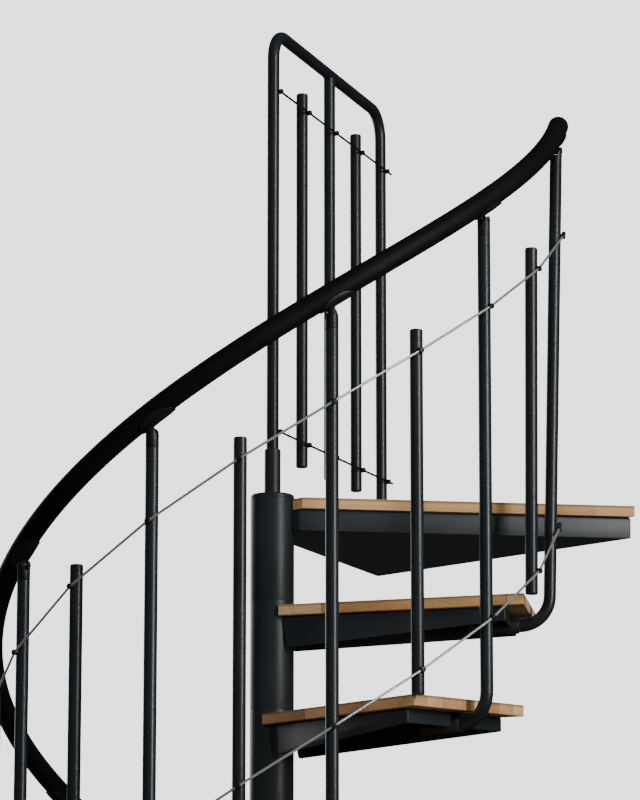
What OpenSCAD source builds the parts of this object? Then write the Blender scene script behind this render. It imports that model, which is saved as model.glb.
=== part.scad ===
// Spiral stair: a column of stacked hub tubes carries cantilevered treads, a helical
// handrail on tube balusters with two cables, and a corner landing with a tube guard.
// Millimetres, +Z up. The origin is on the column axis, at the underside of the base.
// A place on the stair is given as k, the number of steps below the top tread.

/* [Stair] */
// Number of treads below the landing
treads = 11; // [6:1:12]
// Height from one tread to the next
rise = 220; // [200:1:240]
// Turn from one tread to the next, in degrees
step_turn = 34.8; // [28:0.1:36]
// Heading of the top tread's centre line, in degrees from +X
top_heading = -9.1; // [-180:0.1:180]

/* [Column] */
// Outer diameter of the hub tubes
column_d = 89; // [80:1:110]
// Wall of the hub tubes
column_wall = 3.5; // [2.5:0.5:6]
// How far each hub tube stands above its own board
hub_above = 12; // [8:1:20]
// Bevel on the ends of each hub tube
hub_bevel = 0.8; // [0.5:0.1:1.5]
// Thickness of the cap on the column
cap_t = 10; // [8:1:14]
// Rounding of the cap's shoulder
cap_round = 6; // [2:1:7]

/* [Base] */
// Diameter of the base flange
base_d = 300; // [240:10:400]
// Thickness of the base flange
base_t = 8; // [6:1:16]
// Height of the collar that the lowest hub tube stands over
collar_h = 60; // [40:5:120]
// Diameter of the anchor holes
anchor_d = 14; // [10:1:18]
// Number of anchor holes
anchor_count = 4; // [3:1:8]
// Diameter of the circle that the anchor holes lie on
anchor_circle_d = 240; // [200:5:260]

/* [Boards] */
// Thickness of the wooden boards
board_t = 22; // [18:1:40]
// Distance from the column axis to the outer end of a board
board_reach = 523; // [440:1:700]
// Width of a board at its outer end
board_w_out = 324; // [240:1:400]
// Width of a board at its inner end
board_w_in = 100; // [96:1:130]
// Distance from the column axis to the inner end of a board
board_start = 20; // [0:1:30]
// Gap between a board and the column
board_gap = 1.5; // [1:0.5:4]

/* [Sheet pans] */
// Thickness of the sheet that the pans are folded from
sheet_t = 3; // [2:0.5:5]
// Set-back of a pan from the sides of its board
pan_side = 14; // [5:1:30]
// Set-back of a pan from the outer end of its board
pan_end = 38; // [20:1:60]
// Depth of a pan at the column
pan_deep = 64; // [50:1:100]
// Depth of a pan at its outer end
pan_shallow = 28; // [20:1:40]
// Slope of the pan flanges' inner ends, run out over their depth
pan_undercut = 12; // [0:1:20]

/* [Balusters] */
// Distance from the boards' outer ends out to the balusters' axes
baluster_out = 40; // [35:1:60]
// Diameter of baluster, rod and guard tubes
tube_d = 25; // [20:1:32]
// Centre-line radius of the bend at a baluster's foot
foot_bend = 60; // [45:1:80]
// Depth of a baluster's foot below its tread
foot_drop = 46; // [40:1:60]
// Height of a baluster's tube above its tread
tube_top = 895; // [800:1:1000]
// Outer diameter of the sockets that hold the feet
socket_d = 31; // [28:1:40]
// Length of the sockets
socket_len = 100; // [60:1:140]
// Gap between a foot and its socket, all round
socket_gap = 0.2; // [0.1:0.1:0.3]

/* [Handrail] */
// Diameter of the handrail
rail_d = 42; // [35:1:50]
// Height of the pivot above the top of a baluster's tube
pivot_up = 30; // [24:1:40]
// Gap between the saddles and the rounded heads under them
saddle_clear = 0.2; // [0.2:0.1:5]
// Length of handrail past the first and last balusters, with its cap
rail_tail = 42; // [30:1:120]
// Outward spread of the handrail at the top baluster
end_flare = 25; // [0:1:40]
// Extra height of the handrail at the top baluster
end_lift = 10; // [0:1:30]
// Length of the leaf-shaped saddles under the handrail
saddle_len = 80; // [50:1:100]
// Thickness of the saddles
saddle_t = 3; // [2:0.5:5]
// Diameter of the pivot pins
pin_d = 6; // [4:0.5:8]

/* [Rods and cables] */
// Length of the rods between two balusters
rod_len = 692; // [500:5:750]
// Height of the rods' lower ends above the line of the treads
rod_low = 106; // [80:1:140]
// Height of the lower cable above the line of the treads
cable_low = 152; // [120:1:200]
// Height of the upper cable above the line of the treads
cable_high = 755; // [600:1:760]
// Diameter of the cables
cable_d = 5; // [3:0.5:8]
// Diameter of the cable clamps
clamp_d = 11; // [9:0.5:16]

/* [Landing] */
// Distance from the column axis to the landing's far edge
landing_reach = 606; // [480:1:760]
// Heading of the landing's far edge's normal, in degrees
landing_heading = 40.5; // [30:0.1:60]
// Overhang of the landing's board past the axis on the step side
landing_front = 53; // [50:1:70]
// Overhang of the landing's board past the axis on the guard side
landing_side = 34; // [30:1:50]
// Set-back of the landing's pan from the sides of its board
landing_setback = 10; // [5:1:15]
// Depth of the landing's pan
landing_deep = 44; // [40:1:90]
// Diameter of the fixing holes in the far flange
fixing_d = 12; // [8:1:16]
// Distance between the fixing holes
fixing_spacing = 350; // [200:10:450]

/* [Guard] */
// Heading of the guard from the column, in degrees
guard_heading = 68; // [50:0.1:90]
// Distance between the guard's end posts
guard_w = 656; // [450:1:700]
// Height of the guard's top rail centre above the landing
guard_h = 998; // [850:1:1100]
// Centre-line radius of the guard's corners
guard_bend = 60; // [45:1:100]
// Height of the rods' and middle post's lower ends above the landing
guard_low = 95; // [60:1:120]
// Height of the rods' upper ends above the landing
guard_rod_top = 907; // [800:1:940]
// Heights of the two cables above the landing
guard_cables = [142, 864];
// Outer diameter of the sleeve on the column's cap
sleeve_d = 33; // [30:1:45]
// Height of the sleeve on the column's cap
sleeve_h = 94; // [60:1:140]

/* [Hidden] */
$fn = 64;

column_r = column_d / 2;
tube_r = tube_d / 2;
rail_r = rail_d / 2;
nose_r = pin_d / 2 + 5; // rounding of the baluster heads about their pins
baluster_r = board_reach + baluster_out;
stair_slope = atan(rise / (baluster_r * step_turn * PI / 180));
saddle_gap = 0.6; // gap between the handrail and its saddles
rail_over_pivot = (rail_r + saddle_gap + saddle_t + nose_r + saddle_clear) / cos(stair_slope);
cable_off = tube_r + cable_d / 2 + 1; // from a tube's axis to the cable's
clamp_reach = cable_off + clamp_d / 2; // from a tube's axis to the clamp's face
bend_top = foot_bend - foot_drop; // where a baluster's straight part begins
rail_up = tube_top + pivot_up + rail_over_pivot; // handrail centre above a tread
flare_steps = 2; // the handrail spreads over this many steps
landing_z = (treads + 1) * rise;
front_heading = top_heading + step_turn / 2;
landing_middle = (front_heading + guard_heading) / 2;
last_k = treads - 1;
rail_facets = 16;
cap_len = 12;

function two_digits(i) = i < 10 ? str("0", i) : str(i);

// ---------------------------------------------------------------- places on the stair

function heading(k) = top_heading - k * step_turn;
function line_z(k) = (treads - k) * rise;
function spread(k) = k < flare_steps ? pow((flare_steps - k) / flare_steps, 3) : 0;
function unit(v) = v / norm(v);
function radial(k) = [cos(heading(k)), sin(heading(k)), 0];

// How far the tube at k leans outward to meet the handrail
function lean(k) = atan(end_flare * spread(k) / (rail_up - bend_top));

// Centre of the handrail, and its local frame: outward, along (upstairs) and up
function rail_at(k) =
    (baluster_r + end_flare * spread(k)) * radial(k)
    + [0, 0, line_z(k) + rail_up + end_lift * spread(k)];
function rail_along(k) = unit(rail_at(k - 0.05) - rail_at(k + 0.05));
function rail_out(k) =
    let (t = rail_along(k), r = radial(k))
    unit(r - (r * t) * t);
function rail_top(k) = cross(rail_out(k), rail_along(k));
function rail_slope(k) = asin(rail_along(k)[2]);

// The point at a tube, out by x and up by z from the tread line, on the leaning tube
function tube_at(k, x, z) =
    let (a = lean(k), out = foot_bend + x, h = z - bend_top)
    (baluster_r - foot_bend + out * cos(a) + h * sin(a)) * radial(k)
    + [0, 0, line_z(k) + bend_top + h * cos(a) - out * sin(a)];
function cable_along(k, z) = unit(tube_at(k - 0.5, cable_off, z) - tube_at(k + 0.5, cable_off, z));

module on_tread(i) {
    rotate([0, 0, heading(treads - i)])
        translate([0, 0, i * rise])
            children();
}

// Local frame of the tube at k: x outward, z up the tube, origin where the foot's bend ends.
// A tube that leans is turned as a whole about the middle of its bend, with its socket.
module on_tube(k) {
    rotate([0, 0, heading(k)])
        translate([baluster_r - foot_bend, 0, line_z(k) + bend_top])
            rotate([0, lean(k), 0])
                translate([foot_bend, 0, 0])
                    children();
}

// Turns +Z to the direction d
module along(d) {
    rotate([0, acos(d[2] / norm(d)), atan2(d[1], d[0])])
        children();
}

// A closed skin through rings of equal length, capped at both ends
module skin(rings) {
    n = len(rings[0]);
    m = len(rings);
    sides = [for (i = [0:m - 2]) for (j = [0:n - 1]) each
        [[i * n + j, i * n + (j + 1) % n, (i + 1) * n + j],
         [i * n + (j + 1) % n, (i + 1) * n + (j + 1) % n, (i + 1) * n + j]]];
    polyhedron(
        points = [for (r = rings) each r],
        faces = concat(sides, [[for (j = [n - 1:-1:0]) j]], [[for (j = [0:n - 1]) (m - 1) * n + j]]));
}

// A ring of the handrail at k, with points given as [outward, up] pairs
function rail_ring(k, outline) =
    [for (p = outline) rail_at(k) + p[0] * rail_out(k) + p[1] * rail_top(k)];
function round_outline(r, n) = [for (j = [0:n - 1]) r * [cos(j * 360 / n), sin(j * 360 / n)]];

// ---------------------------------------------------------------- column

module base_flange() {
    color("#33373a") difference() {
        union() {
            cylinder(d = base_d, h = base_t);
            cylinder(r = column_r - column_wall - 0.3, h = base_t + collar_h);
        }
        translate([0, 0, base_t]) cylinder(r = column_r - 2 * column_wall - 0.3, h = collar_h + 1);
        for (a = [0:anchor_count - 1])
            rotate([0, 0, (a + 0.5) * 360 / anchor_count])
                translate([anchor_circle_d / 2, 0, -1]) cylinder(d = anchor_d, h = base_t + 2);
    }
}

// A hub tube with bevelled ends, so that a fine seam shows between two of them
module hub_tube(low, high) {
    inner = column_r - column_wall;
    rotate_extrude()
        polygon([[inner, low], [column_r - hub_bevel, low], [column_r, low + hub_bevel],
                 [column_r, high - hub_bevel], [column_r - hub_bevel, high], [inner, high]]);
}

module column_cap() {
    top = landing_z + hub_above;
    color("#33373a") rotate_extrude()
        polygon(concat(
            [[0, top - cap_t], [column_r, top - cap_t]],
            [for (a = [0:15:90])
                [column_r - cap_round + cap_round * cos(a), top - cap_round + cap_round * sin(a)]],
            [[0, top]]));
}

// ---------------------------------------------------------------- treads

board_taper = (board_w_out - board_w_in) / 2 / (board_reach - board_start);
pan_inner_x = board_start + 6;
pan_outer_x = board_reach - pan_end;
function pan_half(x) = board_w_in / 2 + (x - board_start) * board_taper - pan_side;

module pan_plan(inset) {
    x0 = inset > 0 ? column_r : pan_inner_x;
    x1 = pan_outer_x - inset;
    polygon([[x0, -pan_half(x0) + inset], [x1, -pan_half(x1) + inset],
             [x1, pan_half(x1) - inset], [x0, pan_half(x0) - inset]]);
}

// Side outline of the pan: deep at the column, shallow at the outer end
module pan_side_cut() {
    rotate([90, 0, 0]) translate([0, 0, -board_w_out])
        linear_extrude(2 * board_w_out)
            polygon([[pan_inner_x, 1], [pan_outer_x, 1], [pan_outer_x, -pan_shallow],
                     [pan_inner_x + pan_undercut, -pan_deep], [pan_inner_x, 0]]);
}

module tread_pan() {
    difference() {
        intersection() {
            translate([0, 0, -pan_deep]) linear_extrude(pan_deep) pan_plan(0);
            pan_side_cut();
        }
        translate([0, 0, -pan_deep - sheet_t]) linear_extrude(pan_deep) pan_plan(sheet_t);
        translate([0, 0, -pan_deep - 1]) cylinder(r = column_r - 1, h = pan_deep + 2);
    }
}

// Socket for the baluster's foot, in the frame of the tube
module foot_socket(r, len) {
    translate([-foot_bend - len, 0, -foot_bend]) rotate([0, 90, 0]) cylinder(r = r, h = len);
}

// Web that hangs the socket from the pan
module socket_web() {
    start = baluster_r - foot_bend - socket_len + 4;
    translate([start, -sheet_t, -foot_drop])
        cube([pan_outer_x - start - sheet_t / 2, 2 * sheet_t, foot_drop - board_t - sheet_t / 2]);
}

module carrier(i) {
    k = treads - i;
    first = i == 1 ? base_t - rise : hub_above - rise;
    color("#33373a") difference() {
        union() {
            on_tread(i) {
                hub_tube(first, hub_above);
                translate([0, 0, -board_t]) tread_pan();
                socket_web();
            }
            on_tube(k) foot_socket(socket_d / 2, socket_len);
        }
        on_tube(k) foot_socket(tube_r + socket_gap, socket_len + 1);
        on_tube(k) translate([1, 0, 0]) foot_socket(tube_r + socket_gap, socket_len);
    }
}

module tread_board(i) {
    color("#c8a078") on_tread(i) difference() {
        translate([0, 0, -board_t]) linear_extrude(board_t)
            polygon([[board_start, -board_w_in / 2], [board_reach, -board_w_out / 2],
                     [board_reach, board_w_out / 2], [board_start, board_w_in / 2]]);
        translate([0, 0, -board_t - 1]) cylinder(r = column_r + board_gap, h = board_t + 2);
    }
}

// ---------------------------------------------------------------- landing

// Where the lines a and b meet; a line is [heading of its normal, distance from the axis]
function meet(a, b) =
    let (det = sin(b[0] - a[0]))
    [(a[1] * sin(b[0]) - b[1] * sin(a[0])) / det, (b[1] * cos(a[0]) - a[1] * cos(b[0])) / det];

// Plan of the landing, set back by side at its two free edges and by far at the others
module landing_plan(side, far) {
    inner = [landing_middle + 180, -board_start - far];
    front = [front_heading - 90, landing_front - side];
    edge = [landing_heading, landing_reach - far];
    guard = [guard_heading + 90, landing_side - side];
    polygon([meet(inner, front), meet(front, edge), meet(edge, guard), meet(guard, inner)]);
}

module landing_fixings() {
    rotate([0, 0, landing_heading])
        for (y = [-fixing_spacing / 2, fixing_spacing / 2])
            translate([landing_reach - 2 * sheet_t, y + fixing_shift, -board_t - landing_deep / 2])
                rotate([0, 90, 0]) cylinder(d = fixing_d, h = 4 * sheet_t);
}

// The middle of the far edge, along the edge from the foot of the axis's normal
far_ends = [meet([front_heading - 90, landing_front], [landing_heading, landing_reach]),
            meet([guard_heading + 90, landing_side], [landing_heading, landing_reach])];
fixing_shift = (far_ends[0] + far_ends[1]) / 2 * [-sin(landing_heading), cos(landing_heading)];
rib_deep = landing_deep - 10;

module landing_carrier() {
    color("#33373a") translate([0, 0, landing_z]) difference() {
        union() {
            hub_tube(hub_above - rise, hub_above - cap_t);
            difference() {
                translate([0, 0, -board_t - landing_deep]) linear_extrude(landing_deep)
                    landing_plan(landing_setback, 0);
                translate([0, 0, -board_t - landing_deep - sheet_t]) linear_extrude(landing_deep)
                    landing_plan(landing_setback + sheet_t, sheet_t);
            }
            translate([0, 0, -board_t - rib_deep]) linear_extrude(rib_deep) intersection() {
                landing_plan(landing_setback, 0);
                for (a = [landing_middle - 9, landing_middle + 9])
                    rotate([0, 0, a]) translate([0, -sheet_t / 2]) square([board_reach * 2, sheet_t]);
            }
        }
        translate([0, 0, -rise]) cylinder(r = column_r - column_wall, h = 2 * rise);
        landing_fixings();
    }
}

module landing_board() {
    color("#c8a078") translate([0, 0, landing_z - board_t]) difference() {
        linear_extrude(board_t) landing_plan(0, 0);
        translate([0, 0, -1]) cylinder(r = column_r + board_gap, h = board_t + 2);
        rotate([0, 0, guard_heading]) translate([guard_w, 0, -1])
            cylinder(r = tube_r + socket_gap, h = board_t + 2);
    }
}

// ---------------------------------------------------------------- balusters

module baluster(i) {
    k = treads - i;
    color("#33373a") on_tube(k) {
        foot_socket(tube_r, socket_len - 4);
        translate([-foot_bend, 0, 0]) rotate([90, 0, 0]) rotate([0, 0, -90])
            rotate_extrude(angle = 90) translate([foot_bend, 0]) circle(r = tube_r);
        cylinder(r = tube_r, h = tube_top - bend_top + end_lift * spread(k));
    }
}

tongue_t = 7.4;
slot_w = tongue_t + 0.6;

// Forked plug on a tube's top, as wide as the tube, with the pivot pin across its slot
module head(k) {
    on_tube(k) translate([0, 0, tube_top - bend_top + end_lift * spread(k)]) {
        difference() {
            intersection() {
                cylinder(r = tube_r, h = pivot_up + nose_r);
                rotate([90, 0, 90]) linear_extrude(tube_d, center = true) {
                    translate([0, pivot_up]) circle(r = nose_r);
                    polygon([[-tube_r, 0], [tube_r, 0], [tube_r, pivot_up - nose_r],
                             [nose_r * cos(30), pivot_up + nose_r / 2],
                             [-nose_r * cos(30), pivot_up + nose_r / 2], [-tube_r, pivot_up - nose_r]]);
                }
            }
            translate([-slot_w / 2, -tube_d, pivot_up - nose_r - 3])
                cube([slot_w, 2 * tube_d, pivot_up]);
        }
        translate([-tube_r + 2, 0, pivot_up]) rotate([0, 90, 0])
            cylinder(d = pin_d, h = tube_d - 4);
    }
}

module baluster_heads() {
    color("#1c1e20") for (k = [0:last_k]) head(k);
}

// Leaf-shaped saddle under the handrail, with the tongue that the pin goes through
leaf_steps = 8;
leaf_half = 66; // half the saddle's wrap round the handrail at its middle, in degrees
function leaf_outline(u) =
    let (w = leaf_half * sqrt(1 - 0.92 * u * u), inner = rail_r + saddle_gap, outer = inner + saddle_t)
    concat([for (j = [-5:5]) outer * [sin(w * j / 5), -cos(w * j / 5)]],
           [for (j = [5:-1:-5]) inner * [sin(w * j / 5), -cos(w * j / 5)]]);

module saddle(k) {
    arc = rise / sin(rail_slope(k)); // handrail length in one step
    skin([for (s = [0:leaf_steps])
        let (u = 1 - 2 * s / leaf_steps)
        rail_ring(k + u * saddle_len / 2 / arc, leaf_outline(u))]);
    tongue_top = rail_over_pivot * cos(rail_slope(k)) - rail_r - saddle_gap - saddle_t / 2;
    on_tube(k)
        translate([-tongue_t / 2, 0, tube_top - bend_top + end_lift * spread(k) + pivot_up])
            rotate([rail_slope(k), 0, 0]) difference() {
                union() {
                    rotate([0, 90, 0]) cylinder(r = nose_r - 1, h = tongue_t);
                    translate([0, 1 - nose_r, 0]) cube([tongue_t, 2 * nose_r - 2, tongue_top]);
                }
                translate([-1, 0, 0]) rotate([0, 90, 0])
                    cylinder(d = pin_d + 0.4, h = tongue_t + 2);
            }
}

module handrail_saddles() {
    color("#1c1e20") for (k = [0:last_k]) saddle(k);
}

// ---------------------------------------------------------------- handrail

rail_run = norm([rise, baluster_r * step_turn * PI / 180]); // handrail length in one step
tail_k = (rail_tail - cap_len) / rail_run;
cap_k = cap_len / rail_run;
rings_per_step = 10;

module handrail() {
    count = last_k * rings_per_step;
    ks = concat([last_k + tail_k], [for (s = [count:-1:0]) s / rings_per_step], [-tail_k]);
    color("#141516") skin([for (k = ks) rail_ring(k, round_outline(rail_r, rail_facets))]);
}

// Bevelled plugs that close the handrail's two ends
module handrail_end_caps() {
    color("#141516") {
        skin([for (s = [[0, 0], [0.7, 0], [1, 5]])
            rail_ring(-tail_k - s[0] * cap_k, round_outline(rail_r - s[1], rail_facets))]);
        skin([for (s = [[1, 5], [0.7, 0], [0, 0]])
            rail_ring(last_k + tail_k + s[0] * cap_k, round_outline(rail_r - s[1], rail_facets))]);
    }
}

// ---------------------------------------------------------------- rods and cables

// A closed tube with softly rounded ends
module closed_rod(len) {
    round = 3;
    rotate_extrude() polygon(concat(
        [[0, 0]],
        [for (a = [-90:30:0]) [tube_r - round + round * cos(a), round + round * sin(a)]],
        [for (a = [0:30:90]) [tube_r - round + round * cos(a), len - round + round * sin(a)]],
        [[0, len]]));
}

module infill_rods() {
    color("#33373a") for (k = [0.5:last_k]) on_tube(k)
        translate([0, 0, rod_low - bend_top]) closed_rod(rod_len);
}

clamp_half = clamp_d / 2 + 1;
stop_len = 12;
stop_gap = 4;

// A cable runs straight from clamp to clamp and lies along each clamp
module stair_cable(z) {
    tail = clamp_half + stop_gap + stop_len / 2;
    middles = [for (s = [2 * last_k:-1:0]) s / 2];
    path = [for (k = middles) for (e = [-1, 1])
        let (past = (k == last_k && e < 0) || (k == 0 && e > 0) ? tail : clamp_half)
        [k, tube_at(k, cable_off, z) + e * past * cable_along(k, z)]];
    skin([for (p = path)
        let (t = cable_along(p[0], z), r = radial(p[0]), a = unit(r - (r * t) * t), b = cross(a, t))
        [for (c = round_outline(cable_d / 2, 8)) p[1] + c[0] * a + c[1] * b]]);
}

module upper_cable() {
    color("#b4b7ba") stair_cable(cable_high);
}

module lower_cable() {
    color("#b4b7ba") stair_cable(cable_low);
}

// Round clamp on the outside of a tube, seated on it and bored for the cable
module cable_clamp(k, z) {
    difference() {
        on_tube(k) translate([0, 0, z - bend_top]) difference() {
            rotate([0, 90, 0]) cylinder(d = clamp_d, h = clamp_reach);
            translate([0, 0, -clamp_d]) cylinder(r = tube_r, h = 2 * clamp_d);
        }
        translate(tube_at(k, cable_off, z)) along(cable_along(k, z)) translate([0, 0, -clamp_d])
            cylinder(d = cable_d + 0.6, h = 2 * clamp_d);
    }
}

module cable_clamps() {
    color("#1c1e20") for (k = [0:0.5:last_k]) for (z = [cable_low, cable_high]) cable_clamp(k, z);
}

module cable_stop(k, z, way) {
    d = way * cable_along(k, z);
    translate(tube_at(k, cable_off, z) + (clamp_half + stop_gap) * d) along(d) difference() {
        cylinder(d = clamp_d - 2, h = stop_len);
        translate([0, 0, -1]) cylinder(d = cable_d + 0.6, h = 1 + stop_len / 2);
    }
}

module cable_stops() {
    color("#1c1e20") for (z = [cable_low, cable_high]) {
        cable_stop(0, z, 1);
        cable_stop(last_k, z, -1);
    }
}

// ---------------------------------------------------------------- landing guard

guard_foot = hub_above; // the left post stands on the column's cap
guard_pitch = guard_w / 4;

module on_guard() {
    rotate([0, 0, guard_heading]) translate([0, 0, landing_z]) children();
}

module guard_sleeve() {
    color("#33373a") on_guard() translate([0, 0, guard_foot]) difference() {
        cylinder(d = sleeve_d, h = sleeve_h);
        translate([0, 0, -1]) cylinder(r = tube_r + socket_gap, h = sleeve_h + 2);
    }
}

module guard_frame() {
    corner = guard_h - guard_bend;
    color("#33373a") on_guard() {
        translate([0, 0, guard_foot]) cylinder(r = tube_r, h = corner - guard_foot);
        translate([guard_w, 0, -board_t]) cylinder(r = tube_r, h = corner + board_t);
        translate([guard_bend, 0, corner]) rotate([90, 0, 0]) rotate([0, 0, 90])
            rotate_extrude(angle = 90) translate([guard_bend, 0]) circle(r = tube_r);
        translate([guard_w - guard_bend, 0, corner]) rotate([90, 0, 0])
            rotate_extrude(angle = 90) translate([guard_bend, 0]) circle(r = tube_r);
        translate([guard_bend, 0, guard_h]) rotate([0, 90, 0])
            cylinder(r = tube_r, h = guard_w - 2 * guard_bend);
        translate([guard_w / 2, 0, guard_low]) cylinder(r = tube_r, h = guard_h - guard_low);
    }
}

module guard_rods() {
    color("#33373a") on_guard() for (n = [1, 3])
        translate([n * guard_pitch, 0, guard_low]) closed_rod(guard_rod_top - guard_low);
}

guard_tail = 28;

module guard_cables() {
    color("#1c1e20") on_guard() for (z = guard_cables)
        translate([-clamp_half, -cable_off, z]) rotate([0, 90, 0])
            cylinder(d = cable_d, h = guard_w + guard_tail + clamp_half);
}

module guard_clamps() {
    color("#1c1e20") on_guard() for (z = guard_cables) for (n = [0:4])
        translate([n * guard_pitch, 0, z]) difference() {
            rotate([90, 0, 0]) cylinder(d = clamp_d, h = clamp_reach);
            translate([0, 0, -clamp_d]) cylinder(r = tube_r, h = 2 * clamp_d);
            translate([-clamp_d, -cable_off, 0]) rotate([0, 90, 0])
                cylinder(d = cable_d + 0.6, h = 2 * clamp_d);
        }
}

// ---------------------------------------------------------------- nodes

base_flange();
for (i = [1:treads]) {
    carrier(i);
    tread_board(i);
    baluster(i);
}
landing_carrier();
landing_board();
column_cap();
baluster_heads();
handrail_saddles();
handrail();
handrail_end_caps();
infill_rods();
upper_cable();
lower_cable();
cable_clamps();
cable_stops();
guard_sleeve();
guard_frame();
guard_rods();
guard_cables();
guard_clamps();
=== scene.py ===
"""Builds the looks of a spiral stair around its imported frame, in metres, +Z up.

A place on the stair is given as k, the number of steps below the top tread.
"""

import math

import bmesh
import bpy
from bpy.props import FloatProperty, FloatVectorProperty, IntProperty
from bpy.types import Operator, Panel, PropertyGroup
from mathutils import Matrix, Vector


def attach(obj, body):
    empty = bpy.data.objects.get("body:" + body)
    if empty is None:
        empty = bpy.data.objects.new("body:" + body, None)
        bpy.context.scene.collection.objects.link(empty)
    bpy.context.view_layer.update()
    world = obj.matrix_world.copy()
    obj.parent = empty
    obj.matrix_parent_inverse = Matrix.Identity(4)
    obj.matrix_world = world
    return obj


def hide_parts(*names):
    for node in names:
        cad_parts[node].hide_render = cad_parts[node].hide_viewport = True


bl_info = {
    "name": "Spiral Stair",
    "version": (1, 0, 0),
    "blender": (4, 5, 0),
    "location": "View3D > Sidebar > Stair",
    "description": "Builds a spiral stair with wooden treads, tube balusters and a landing guard",
    "category": "Object",
}

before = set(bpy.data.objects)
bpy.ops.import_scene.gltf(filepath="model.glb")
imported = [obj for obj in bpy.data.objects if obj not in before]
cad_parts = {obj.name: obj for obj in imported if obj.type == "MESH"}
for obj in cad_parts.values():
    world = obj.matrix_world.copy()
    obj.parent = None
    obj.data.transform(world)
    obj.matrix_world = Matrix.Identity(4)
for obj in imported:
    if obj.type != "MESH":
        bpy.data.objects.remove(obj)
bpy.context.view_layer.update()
BODY = "root"
MM = 0.001
QUARTER = math.radians(90)
SEAM = 0.6 * MM  # how far a weld's middle line stands off its corner
SMALL_WELD = 1.6 * MM
SHARP = 0.5 * MM  # easing of sheet edges and of cut tube ends
CORNER = 4 * MM  # rounding of the boards' upright corners
BOLT = (4.4 * MM, 0.9 * MM)  # radius and height of the pivot bolts' heads
BOARD_SCREW = (5.5 * MM, 2.4 * MM)  # the same for the screws under the boards
TREAD_SCREWS = ((0.115, 0.036), (0.275, 0.066), (0.435, 0.1))  # x, and y to both sides
LANDING_SCREWS = (  # degrees from the landing's middle line, and distance from the axis
    (-22, 0.18),
    (-24, 0.34),
    (-25, 0.52),
    (22, 0.18),
    (24, 0.34),
    (25, 0.5),
    (0, 0.26),
    (0, 0.48),
)
RIB_TURN = math.radians(9)  # each rib of the landing stands this far off its middle line
RIB_SHORT = 10 * MM  # and ends this far above the pan's lower edge
HEAD_SLOT = 8 * MM
TONGUE = 7.4 * MM
SADDLE_GAP = 0.6 * MM  # between the handrail and its saddles
FLARE_STEPS = 2  # the handrail spreads over this many steps
CAP_LEN = 12 * MM  # length of the handrail's end plugs
STOP_LEN = 12 * MM
STOP_GAP = 4 * MM
SADDLE_WRAP = math.radians(66)  # half of what a saddle's middle takes of the handrail
STAVE_SHIFT = (0.731, 0.1973, 0)  # each board's staves start this much further on


# ---------------------------------------------------------------- sizes and colours


def length(name, description, default):
    return FloatProperty(
        name=name, description=description, default=default, min=0, precision=4, unit="LENGTH"
    )


def turn(name, description, degrees):
    return FloatProperty(
        name=name, description=description, default=math.radians(degrees), unit="ROTATION"
    )


def colour(name, description, default):
    return FloatVectorProperty(
        name=name, description=description, default=default, size=3, min=0, max=1, subtype="COLOR"
    )


class StairSizes(PropertyGroup):
    """Heights, turns and the column"""

    treads: IntProperty(name="Treads", description="Treads below the landing", default=11, min=2)
    rise: length("Rise", "Height from one tread to the next", 0.22)
    step_turn: turn("Step turn", "Turn from one tread to the next", 34.8)
    top_heading: turn("Top heading", "Heading of the top tread's centre line", -9.1)
    column_d: length("Column", "Outer diameter of the hub tubes", 0.089)
    column_wall: length("Hub wall", "Wall of the hub tubes", 0.0035)
    hub_above: length("Hub above", "How far a hub tube stands above its board", 0.012)
    cap_t: length("Cap", "Thickness of the cap on the column", 0.010)
    cap_round: length("Cap rounding", "Rounding of the cap's shoulder", 0.006)
    base_d: length("Base", "Diameter of the base flange", 0.300)
    base_t: length("Base thickness", "Thickness of the base flange", 0.008)
    collar_h: length("Collar", "Height of the collar in the lowest hub tube", 0.060)
    anchor_d: length("Anchor holes", "Diameter of the anchor holes", 0.014)
    anchor_circle_d: length("Anchor circle", "Circle that the anchor holes lie on", 0.240)


class TreadSizes(PropertyGroup):
    """Boards, sheet pans and the landing"""

    board_t: length("Board", "Thickness of the boards", 0.022)
    board_reach: length("Reach", "Column axis to a board's outer end", 0.523)
    board_w_out: length("Outer width", "Width of a board at its outer end", 0.324)
    board_w_in: length("Inner width", "Width of a board at its inner end", 0.100)
    board_start: length("Start", "Column axis to a board's inner end", 0.020)
    board_gap: length("Gap", "Gap between a board and the column", 0.0015)
    board_ease: length("Eased edge", "Rounding of the boards' edges", 0.0022)
    sheet_t: length("Sheet", "Thickness of the sheet pans", 0.003)
    pan_side: length("Side set-back", "Set-back of a pan from its board's sides", 0.014)
    pan_end: length("End set-back", "Set-back of a pan from its board's outer end", 0.038)
    pan_deep: length("Deep end", "Depth of a pan at the column", 0.064)
    pan_shallow: length("Shallow end", "Depth of a pan at its outer end", 0.028)
    pan_undercut: length("Undercut", "Run of the flanges' sloping inner ends", 0.012)
    landing_reach: length("Landing reach", "Column axis to the landing's far edge", 0.606)
    landing_heading: turn("Landing heading", "Heading of the far edge's normal", 40.5)
    landing_front: length("Landing front", "Overhang on the step side", 0.053)
    landing_side: length("Landing side", "Overhang on the guard side", 0.034)
    landing_setback: length("Landing set-back", "Set-back of the landing's pan", 0.010)
    landing_deep: length("Landing depth", "Depth of the landing's pan", 0.044)
    fixing_d: length("Fixing holes", "Holes in the landing's far flange", 0.012)
    fixing_spacing: length("Fixing spacing", "Distance between the fixing holes", 0.350)
    stave_w: length("Stave width", "Width of one stave of the boards", 0.042)
    stave_l: length("Stave length", "Length of one stave of the boards", 0.36)


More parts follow.
